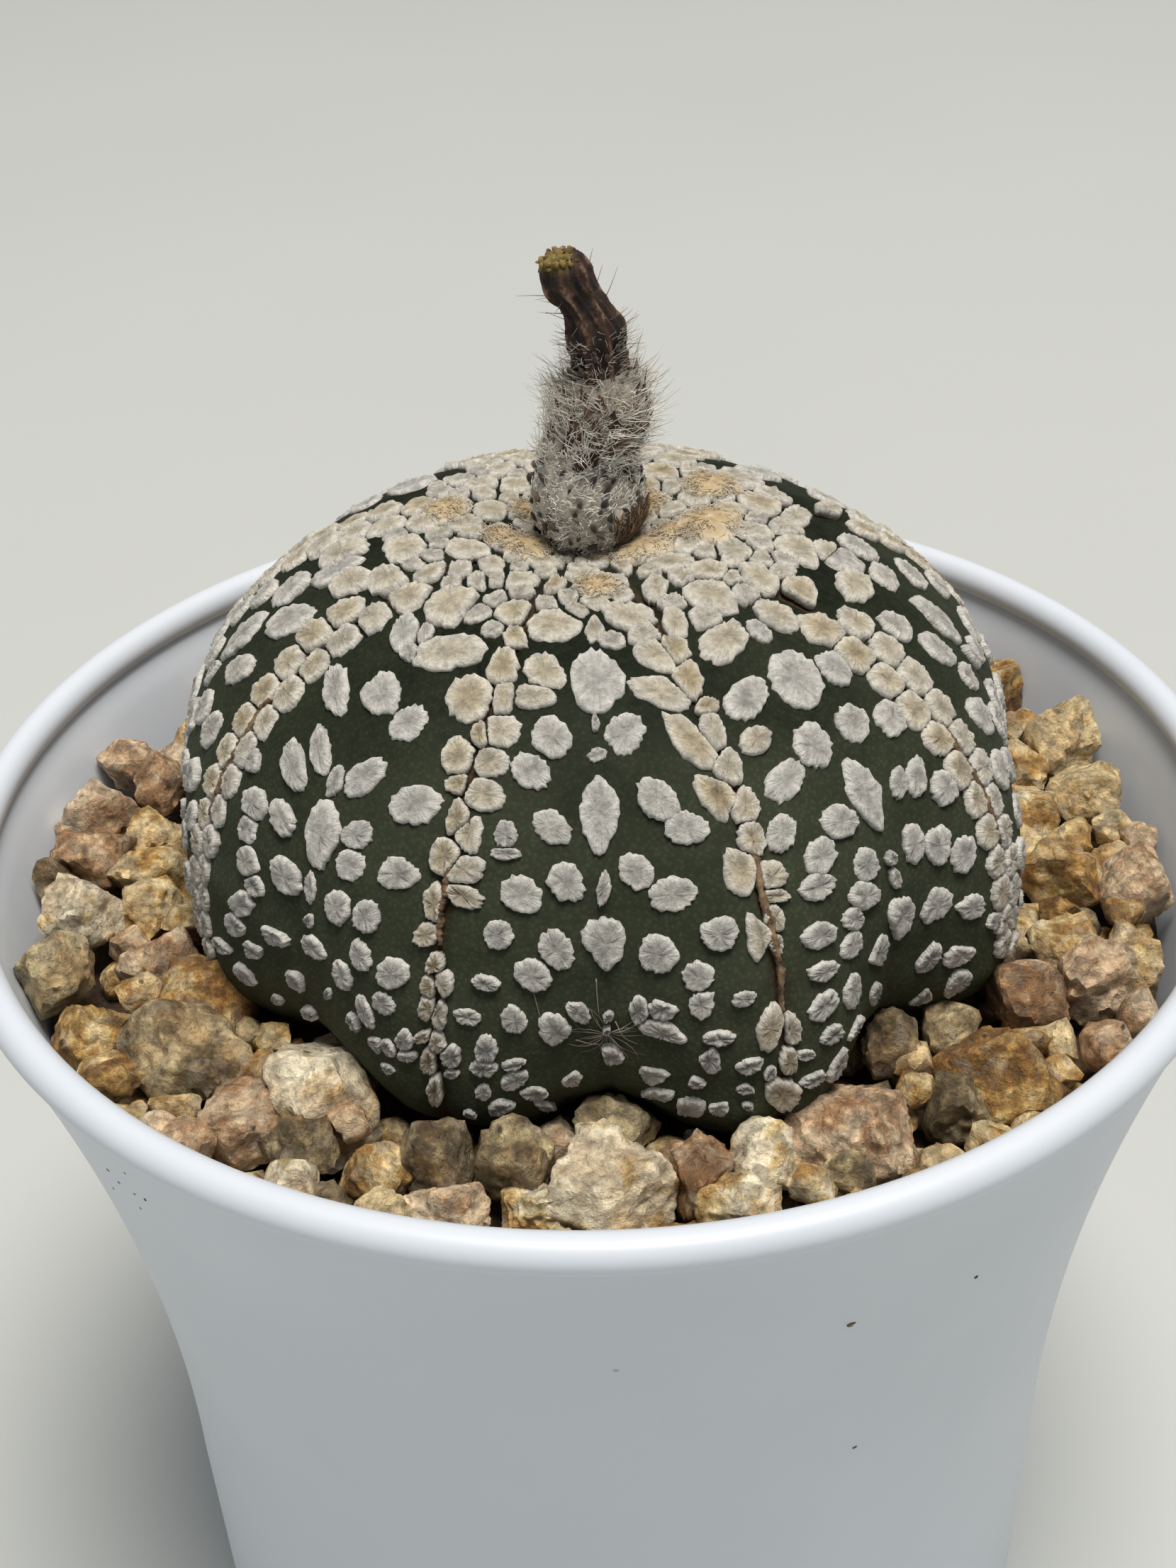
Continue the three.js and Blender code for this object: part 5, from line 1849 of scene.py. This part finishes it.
    def stone(self, pebble: Pebble, seed: int, blank: Shape) -> Shape:
        """Mesh of a stone: a ball cut down by flat breaks, left crumbly by weather.

        Args:
            pebble: the stone.
            seed: picks its breaks.
            blank: the ball that it starts from.

        Returns:
            The closed stone.
        """
        rng = default_rng(seed)
        count = int(rng.integers(9, 15))
        height = 1 - 2 * (np.arange(count) + 0.5) / count
        turn = np.arange(count) * GOLDEN_TURN + rng.uniform(0, 1.1, count)
        flat = np.sqrt(1 - height ** 2)
        normals = np.stack([flat * np.cos(turn), flat * np.sin(turn), height], axis=-1)
        normals = unit(normals + rng.normal(0, 0.2, normals.shape))
        depth = rng.uniform(0.7, 1.0, count)
        facing = np.maximum(blank.points @ normals.T / depth, 0)
        power = rng.uniform(24, 56)
        reach = np.minimum((facing ** power).sum(axis=-1) ** (-1 / power), 1.22)
        spin = np.array(Matrix.Rotation(rng.uniform(0, TURN), 3, "Z")
                        @ Matrix.Rotation(rng.uniform(-0.5, 0.5), 3, "X"))
        points = blank.points * reach[:, None] * pebble.radius * 1.06
        points = (points @ spin.T) * np.array(pebble.stretch)
        # Grains stand proud between creases; some have dropped out and left a hollow
        rough = (0.05 * pebble.radius * lumps(points, 1.5 + 0.5 * pebble.radius, seed + 7)
                 - 0.2 * np.abs(lumps(points, 2.3, seed + 8)) - 0.17 * np.abs(lumps(points, 1.3, seed + 9))
                 + 0.06 * lumps(points, 0.8, seed + 11)
                 - 0.5 * np.clip(lumps(points, 2.6, seed + 13) - 0.55, 0, 0.8))
        points = points + unit(points) * (0.12 + rough * min(1.0, pebble.radius / 2.6))[:, None]
        reach = np.hypot(*(points + pebble.place)[:, :2].T)
        wall = self.pot.inner(points[:, 2] + pebble.place[2]) - 0.1
        shrink = np.where(reach > wall, wall / reach, 1.0)[:, None]
        placed = points + pebble.place
        placed[:, :2] *= shrink
        marks = marked(len(points), rng.uniform(0, 1))
        return Shape(placed, blank.faces, marks)

    def bed(self) -> Shape:
        """Closed ring of fines under the stones, shaped round the stem."""
        sides = 144
        angles = np.arange(sides) * 360 / sides
        turns = np.radians(angles)
        outward = np.stack([np.sin(turns), -np.cos(turns)], axis=-1)

        def ring(radius: np.ndarray, height: float) -> np.ndarray:
            """Points round the pot's axis at one height."""
            flat = outward * np.asarray(radius)[..., None]
            return np.concatenate([flat, np.full((sides, 1), height)], axis=1)

        t, reached = self.form.steps
        below = t > 1
        skin = self.form.point(reached[below][:, None], angles[None], 0.45)
        start = np.argmax(skin[..., 2] < self.bed_top, axis=0)
        stem_top = skin[start, np.arange(sides)]
        top_reach = np.linalg.norm(stem_top[:, :2], axis=1)
        wall = float(self.pot.inner(self.bed_top)) - 0.4
        rows = [ring(np.full(sides, float(self.pot.inner(height)) - 0.4), height)
                for height in np.linspace(self.bed_bottom, self.bed_top, 4)]
        for part in np.linspace(0.1, 0.9, 8):
            made = ring(wall + (top_reach - wall) * part, self.bed_top)
            made[:, 2] += 0.5 * lumps(made, 5.0, 31)
            rows.append(made)
        last = int(np.where(self.form.meridian(t[below])[0] > 9)[0][-1])
        for part in np.linspace(0, 1, 10):
            step = (start + (last - start) * part).astype(int)
            rows.append(skin[step, np.arange(sides)])
        rows.append(ring(np.full(sides, 9.0), self.bed_bottom))
        rings = np.array(rows)
        faces = grid_faces(len(rings), sides)
        close = grid_faces(2, sides)
        seam = np.where(close < sides, close + (len(rings) - 1) * sides, close - sides)
        marks = np.tile([0.5, 0.0, 0.0, 0.0], (rings.shape[0] * sides, 1))
        return Shape(rings.reshape(-1, 3), [np.concatenate([faces, seam])[:, ::-1]], marks)

    def build(self) -> None:
        """Makes the bed and the stones, one piece for each kind of granite."""
        rng = default_rng(29)
        self.read(rng)
        self.drop(rng)
        piece("grit_bed", self.bed(), BED, stands_for=["grit"])
        coarse, fine, finest = ball(3), ball(4), ball(5)
        front = sorted(self.stones, key=lambda s: s.place[1] - 4 * s.radius)[:self.finest]
        for finish in self.finishes:
            chosen = []
            for i, pebble in enumerate(self.stones):
                if pebble.finish is not finish:
                    continue
                shown = pebble.place[2] > 79.2 and pebble.radius > self.fine_radius
                is_finest = any(pebble is other for other in front)
                blank = finest if is_finest else fine if shown else coarse
                chosen.append(self.stone(pebble, 100 + i, blank))
            log.info("%s: %d stones", finish.name, len(chosen))
            piece(f"{finish.name}_stones", joined(chosen), finish, sharp=42, stands_for=["grit"])


@dataclass(frozen=True)
class Bar:
    """Round bar along a smooth curve, with its own radius all along."""

    knots: tuple[tuple[float, float, float], ...]
    radii: tuple[float, ...]  # evenly spaced

    def frame_at(self, part: np.ndarray) -> tuple[np.ndarray, ...]:
        """Place on the curve and directions along, right and back, one row a part of its length."""
        reach = 0.01
        spot = curve_points(self.knots, part)
        ahead, behind = np.minimum(part + reach, 1), np.maximum(part - reach, 0)
        along = unit(curve_points(self.knots, ahead) - curve_points(self.knots, behind))
        right = unit(np.cross([0.0, 1.0, 0.0], along))
        return spot, along, right, unit(np.cross(along, right))

    def at(self, part: np.ndarray, turn: np.ndarray, proud: np.ndarray) -> tuple[np.ndarray, ...]:
        """Points on the bar's side.

        Args:
            part: places along it.
            turn: places round it.
            proud: how far out of its side.

        Returns:
            The points, the directions outward and the directions along.
        """
        shape = np.broadcast(part, turn, proud).shape
        part, turn, proud = (np.broadcast_to(a, shape).ravel() for a in (part, turn, proud))
        spot, along, right, back = self.frame_at(part)
        out = np.cos(turn)[:, None] * right + np.sin(turn)[:, None] * back
        radius = curve_points(np.array(self.radii), part)[:, 0] + proud
        return tuple(a.reshape(shape + (3,)) for a in (spot + out * radius[:, None], out, along))


@dataclass
class WitheredFlower:
    """Woolly fruit with a second swelling above it, and the dried tube on top."""

    fruit_bar: Bar = Bar((
        (0.6, 0.6, 109.5), (0.38, 0.6, 111.3), (0.14, 0.6, 113.0), (-0.02, 0.6, 114.7), (-0.02, 0.6, 116.4),
        (0.75, 0.6, 118.0), (1.25, 0.6, 119.6), (1.24, 0.6, 121.3), (1.14, 0.6, 122.8)),
        (2.7, 3.95, 4.2, 4.0, 3.4, 3.2, 3.45, 3.1, 2.1))
    tube_bar: Bar = Bar((
        (1.2, 0.6, 121.2), (1.16, 0.6, 122.7), (1.13, 0.6, 124.2), (0.92, 0.6, 125.7), (0.43, 0.6, 127.1),
        (-0.24, 0.6, 128.4), (-0.93, 0.6, 129.7), (-0.98, 0.6, 131.3)),
        (2.05, 2.05, 1.95, 2.08, 1.72, 1.6, 1.85, 1.55))
    ball_end: float = 0.5  # part of the fruit's length that the lower ball takes
    ball_strands: int = 2700
    upper_strands: int = 1500
    spots: int = 104  # bract tips on the lower ball
    tube_tips: int = 70
    papers: int = 64  # papery scales on the upper swelling
    patch_fibres: int = 420
    crumb_count: int = 190

    def core(self) -> Shape:
        """Felted body of the fruit under its wool."""
        rows, sides = 60, 72
        part = np.linspace(0, 1, rows)[:, None]
        turn = -np.arange(sides)[None] / sides * TURN
        round_end = np.sqrt(np.clip(1 - ((part - 0.96) / 0.04).clip(0) ** 2, 0.05, 1))
        base, _, _ = self.fruit_bar.at(part, turn, 0.0)
        bump = 0.16 * lumps(base, 1.3, 51) + 0.08 * lumps(base, 0.7, 52) - 0.25
        rings, _, _ = self.fruit_bar.at(part, turn, bump * round_end)
        marks = np.zeros((rows * sides + 2, 4))
        marks[:, 0] = 0.42
        tint = 0.42 - 0.26 * np.clip((part - self.ball_end) / 0.1, 0, 1)
        marks[:-2, 0] = tint.repeat(sides, axis=1).ravel()
        return closed_rings(rings, rings[0].mean(axis=0), rings[-1].mean(axis=0), marks)

    @cached_property
    def tips(self) -> tuple[np.ndarray, np.ndarray]:
        """Places along and round of the dark bract tips on the lower ball, in crossing spirals."""
        rng = default_rng(71)
        number = np.arange(self.spots)
        part = 0.03 + (self.ball_end - 0.02) * (number + 0.5) / self.spots + rng.normal(0, 0.011, self.spots)
        turn = number * GOLDEN_TURN + rng.normal(0, 0.13, self.spots)
        return part, turn

    @staticmethod
    def in_patch(part: np.ndarray, turn: np.ndarray) -> np.ndarray:
        """Whether a place is in the bare brown patch at the ball's right foot."""
        around = (turn + 0.55 + math.pi) % TURN - math.pi
        return (np.abs(around) < 0.62) & (part < 0.2 - 0.12 * np.abs(around))

    def wool(self) -> Shape:
        """Curled strands: short matted tufts on the ball, long fine loose ones on the upper swelling."""
        rng = default_rng(61)
        tip_part, tip_turn = self.tips
        tips, _, _ = self.fruit_bar.at(tip_part, tip_turn, 0.0)
        count = self.ball_strands + self.upper_strands
        is_upper = np.arange(count) >= self.ball_strands
        part = np.where(is_upper, self.ball_end - 0.04 + 0.5 * rng.beta(1.2, 1.35, count),
                        rng.uniform(0.01, self.ball_end + 0.05, count))
        turn = rng.uniform(0, TURN, count)
        root, out, along = self.fruit_bar.at(part, turn, -0.28)
        near = np.linalg.norm(root[:, None] - tips[None], axis=-1).min(axis=1)
        keep = ~self.in_patch(part, turn) & (is_upper | (near > 0.48))
        part, root, out, along, is_upper = (a[keep] for a in (part, root, out, along, is_upper))
        count, steps = len(part), 7
        round_ = np.cross(along, out)
        # Neighbouring strands lean alike, so that they gather into tufts
        lean = np.where(is_upper, 0.55, 0.1) + 0.7 * lumps(root, 1.5, 62) + rng.normal(0, 0.25, count)
        sway = 0.8 * lumps(root, 1.4, 63) + rng.normal(0, 0.3, count)
        reach = np.where(is_upper, rng.uniform(0.8, 2.3, count), rng.uniform(0.5, 0.9, count))
        stand = np.where(is_upper, rng.uniform(0.35, 1.0, count), rng.uniform(0.55, 0.9, count))
        step = np.linspace(0, 1, steps)[None, :, None]
        curl = np.where(is_upper, rng.uniform(0.03, 0.14, count), rng.uniform(0.1, 0.26, count))
        curl = curl[:, None, None]
        phase = rng.uniform(0, TURN, count)[:, None, None]
        forward = out * stand[:, None] + along * lean[:, None] + round_ * sway[:, None]
        bend = np.where(is_upper, 0.15, 0.42)[:, None, None]
        paths = (root[:, None] + forward[:, None] * (step * reach[:, None, None])
                 - out[:, None] * (bend * step ** 2 * reach[:, None, None])
                 + curl * (np.sin(step * 7 + phase) - np.sin(phase)) * round_[:, None]
                 + curl * (np.cos(step * 6 + phase) - np.cos(phase)) * along[:, None])
        marks = marked(count, np.clip(rng.normal(0.88, 0.18, count) - 1.1 * np.clip(part - 0.58, 0, 0.36),
                                      0, 1))
        thick = np.where(is_upper, 0.85, 1.1)[:, None]
        return strands(paths, thick * np.array([0.034, 0.038, 0.036, 0.034, 0.028, 0.022, 0.010]), marks)

    @staticmethod
    def flake(spot: np.ndarray, axes: Sequence[np.ndarray], blank: Shape, seed: int, tint: float,
              tip: float = 0.0) -> Shape:
        """A small uneven closed lump.

        Args:
            spot: its middle.
            axes: its three half axes.
            blank: the ball that it starts from.
            seed: for its unevenness.
            tint: its first mark.
            tip: its second mark.

        Returns:
            The lump.
        """
        local = blank.points * (1 + 0.28 * lumps(blank.points, 1.2, seed))[:, None]
        return Shape(spot + local @ np.array(axes), blank.faces, marked(len(local), tint, tip))

    def bracts(self) -> Shape:
        """Dry dark tips of the bracts, sunk between the tufts of the ball and under the tube."""
        rng = default_rng(72)
        blank = ball(2)
        shapes = []
        for i, (part, turn) in enumerate(zip(*self.tips)):
            if self.in_patch(np.array(part), np.array(turn)):
                continue
            spot, out, along = self.fruit_bar.at(part, turn, -0.04)
            size = rng.uniform(0.18, 0.38)
            side = np.cross(along, out)
            axes = (side * rng.uniform(0.6, 1.0) * size,
                    (along * rng.uniform(0.8, 1.3) + side * rng.uniform(-0.7, 0.7) + out * 0.3) * size,
                    out * 0.7 * size)
            shapes.append(self.flake(spot, axes, blank, i, rng.uniform(0, 0.75)))
        for i in range(self.tube_tips):
            part, turn = rng.uniform(0.0, 0.36), rng.uniform(0, TURN)
            spot, out, along = self.tube_bar.at(part, turn, 0.02)
            size = rng.uniform(0.16, 0.3)
            axes = (np.cross(along, out) * 0.8 * size, (along * 1.5 + out * 0.4) * size, out * 0.6 * size)
            shapes.append(self.flake(spot, axes, blank, 200 + i, rng.uniform(0, 0.35)))
        return joined(shapes)

    def scales(self) -> Shape:
        """Papery purple-brown scales that lie upward on the upper swelling, under the hairs."""
        rng = default_rng(73)
        blank = ball(3)
        shapes = []
        for i in range(self.papers):
            part = self.ball_end + 0.02 + 0.4 * (i + rng.uniform(0, 1)) / self.papers
            turn = i * GOLDEN_TURN + rng.normal(0, 0.15)
            spot, out, along = self.fruit_bar.at(part, turn, -0.12)
            long, wide = rng.uniform(0.8, 1.3), rng.uniform(0.26, 0.42)
            side = np.cross(along, out)
            taper = np.clip(1 - 0.75 * blank.points[:, 1], 0.1, 1.4)[:, None]
            shaped = Shape(blank.points * np.concatenate([taper, np.ones_like(taper), taper], axis=1),
                           blank.faces)
            axes = (side * wide, (along + 0.22 * out) * long, out * 0.16)
            shapes.append(self.flake(spot, axes, shaped, 400 + i, rng.uniform(0.35, 0.75)))
        return joined(shapes)

    def patch(self) -> Shape:
        """Dry brown fibres of dead flesh at the ball's right foot."""
        rng = default_rng(74)
        count, steps = self.patch_fibres, 6
        part, turn = rng.uniform(0.0, 0.19, count), -0.55 + rng.uniform(-0.6, 0.6, count)
        step = np.linspace(0, 1, steps)[None]
        parts = np.clip(part[:, None] + step * rng.uniform(0.03, 0.09, (count, 1)), 0, 1)
        turns = turn[:, None] + step * rng.normal(0, 0.05, (count, 1))
        proud = rng.uniform(-0.28, 0.12, (count, 1)) + 0.3 * step ** 2 * rng.uniform(0, 1, (count, 1))
        paths, _, _ = self.fruit_bar.at(parts, turns, proud)
        marks = marked(count, rng.uniform(0.1, 1, count))
        return strands(paths, np.array([0.05, 0.06, 0.06, 0.05, 0.04, 0.02]), marks)

    def tube(self) -> Shape:
        """Dried tube: lengthwise ridges, fine wrinkles and a ragged end."""
        rows, sides = 130, 120
        part = np.linspace(0, 1, rows)[:, None]
        turn = -np.arange(sides)[None] / sides * TURN
        place = np.stack(np.broadcast_arrays(np.cos(turn) * 2.0, np.sin(turn) * 2.0, part * 10 * 0.35),
                         axis=-1)
        swing = 0.5 * np.sin(5 * part) + 0.25 * lumps(place, 3.0, 85)
        ridges = 0.5 - np.abs(np.sin(3.5 * turn + swing)) ** 0.7
        ribs = 0.5 - np.abs(np.sin(8 * turn - 2 * swing + 1))
        wrinkle = 0.05 * lumps(place, 0.9, 81) + 0.04 * lumps(place, 0.5, 82)
        depth = 0.3 * ridges + 0.14 * ribs + wrinkle
        end = np.clip((part - 0.92) / 0.08, 0, 1)
        ragged = end * (0.12 * lumps(place, 1.0, 83) - 0.45 * end)
        rings, _, _ = self.tube_bar.at(part, turn, depth + ragged)
        mouth = rings[-1].mean(axis=0) - np.array([0.0, 0.0, 0.3])
        marks = np.zeros((rows * sides + 2, 4))
        # Pleat depth sets painted shade in the folds and painted highlight on the crests
        marks[:-2, 0] = np.clip(0.42 + depth * 1.5, 0, 1).ravel()
        marks[:-2, 1] = 0.6 * (np.clip((part - 0.9) / 0.1, 0, 1) * np.clip(0.6 - np.cos(turn), 0, 1)).ravel()
        marks[-1] = (0.1, 0.5, 0, 0)
        return closed_rings(rings, rings[0].mean(axis=0), mouth, marks)

    def crumbs(self) -> Shape:
        """Yellow-brown crumbs left of the petals at the tube's end, most of them on its left."""
        rng = default_rng(91)
        blank = ball(2)
        shapes = []
        spot, along, right, back = (row[0] for row in self.tube_bar.frame_at(np.array([1.0])))
        for i in range(self.crumb_count):
            turn, out = rng.uniform(0, TURN), math.sqrt(rng.uniform(0, 1)) * 1.45
            across = out * math.cos(turn) - 0.35
            high = rng.uniform(-0.6, 0.0) - 0.3 * max(-across - 0.4, 0) ** 2 - 0.5 * max(across, 0) ** 2
            middle = spot + right * across + back * out * math.sin(turn) + along * high
            size = rng.uniform(0.12, 0.3)
            axes = size * np.diag(rng.uniform(0.6, 1.3, 3))
            shapes.append(self.flake(middle, axes, blank, 900 + i, rng.uniform(0.3, 0.9),
                                     rng.uniform(0.2, 1.0)))
        return joined(shapes)

    def bristles(self, groups: Sequence[tuple], tints: tuple[float, float], thick: float) -> Shape:
        """Sparse hairs that stand off the tube and the upper swelling.

        Args:
            groups: for each, the bar, how many hairs, between which parts, and their reach.
            tints: lowest and highest tint.
            thick: half thickness at the root.

        Returns:
            The hairs.
        """
        rng = default_rng(101)
        shapes = []
        for bar, count, span, reach in groups:
            part = rng.uniform(*span, count)
            turn = rng.uniform(0, TURN, count)
            root, out, along = bar.at(part, turn, -0.3)
            round_ = np.cross(along, out)
            step = np.linspace(0, 1, 7)[None, :, None]
            length = rng.uniform(*reach, count)[:, None, None] + 0.3
            lean = rng.uniform(-0.1, 0.9, count)[:, None, None]
            bend = rng.uniform(-0.3, 0.7, count)[:, None, None]
            paths = (root[:, None] + out[:, None] * step * length + along[:, None] * step * length * lean
                     + along[:, None] * step ** 2 * length * bend * 0.5
                     + round_[:, None] * step ** 2 * rng.normal(0, 0.3, count)[:, None, None])
            marks = marked(count, rng.uniform(*tints, count))
            shapes.append(strands(paths, np.linspace(thick, 0.01, 7), marks))
        return joined(shapes)

    def build(self) -> None:
        """Makes the fruit, its wool and bracts, and the tube with its crumbs and bristles."""
        fruit = ["woolly_fruit"]
        tube = ["dried_flower_tube"]
        petals = DriedPetals("dried_flower_tissue")
        piece("fruit_body", self.core(), WHITE_WOOL, stands_for=fruit)
        piece("fruit_wool", self.wool(), WHITE_WOOL, stands_for=fruit)
        piece("fruit_bracts", self.bracts(), DARK_HAIR, stands_for=fruit)
        piece("fruit_scales", self.scales(), petals, stands_for=fruit)
        piece("fruit_dry_patch", self.patch(), DRY_FIBRE, stands_for=fruit)
        piece("dried_tube", self.tube(), petals, stands_for=tube)
        piece("petal_crumbs", self.crumbs(), petals, stands_for=tube)
        stiff = ((self.tube_bar, 34, (0.05, 0.8), (0.8, 1.9)), (self.fruit_bar, 22, (0.6, 0.98), (1.0, 2.2)))
        fine = ((self.tube_bar, 420, (0.02, 0.42), (0.4, 1.3)),
                (self.fruit_bar, 260, (0.55, 0.97), (1.0, 2.4)))
        piece("flower_bristles", self.bristles(stiff, (0.2, 1.0), 0.042), DARK_HAIR,
              stands_for=tube)
        piece("flower_down", self.bristles(fine, (0.1, 0.8), 0.024), WHITE_WOOL, stands_for=tube)


@dataclass
class PottingSoil:
    """Soil inside the pot: the CAD solid itself, under a better finish."""

    node: str = "potting_mix"

    def build(self) -> None:
        """Gives the solid its finish."""
        made = bpy.data.objects[self.node]
        made.data.materials.clear()
        made.data.materials.append(MineralMix().material())
        log.info("%s: CAD solid, %s", self.node, MineralMix().name)


def main() -> None:
    """Builds the studio and the plant, sub-assembly by sub-assembly."""
    logging.basicConfig(level=logging.INFO, format="%(message)s")
    camera = PhotoCamera()
    camera.make()
    Studio().build()
    pot = Pot()
    form = StemForm()
    pot.build()
    PottingSoil().build()
    SoilSpecks(pot, camera).build()
    Grit(pot, form, camera).build()
    Stem(form).build()
    coat = FeltCoat(form, SeenSkin(form, camera))
    coat.build()
    CrownWool(form, coat).build()
    WitheredFlower().build()


if __name__ == "__main__":
    main()
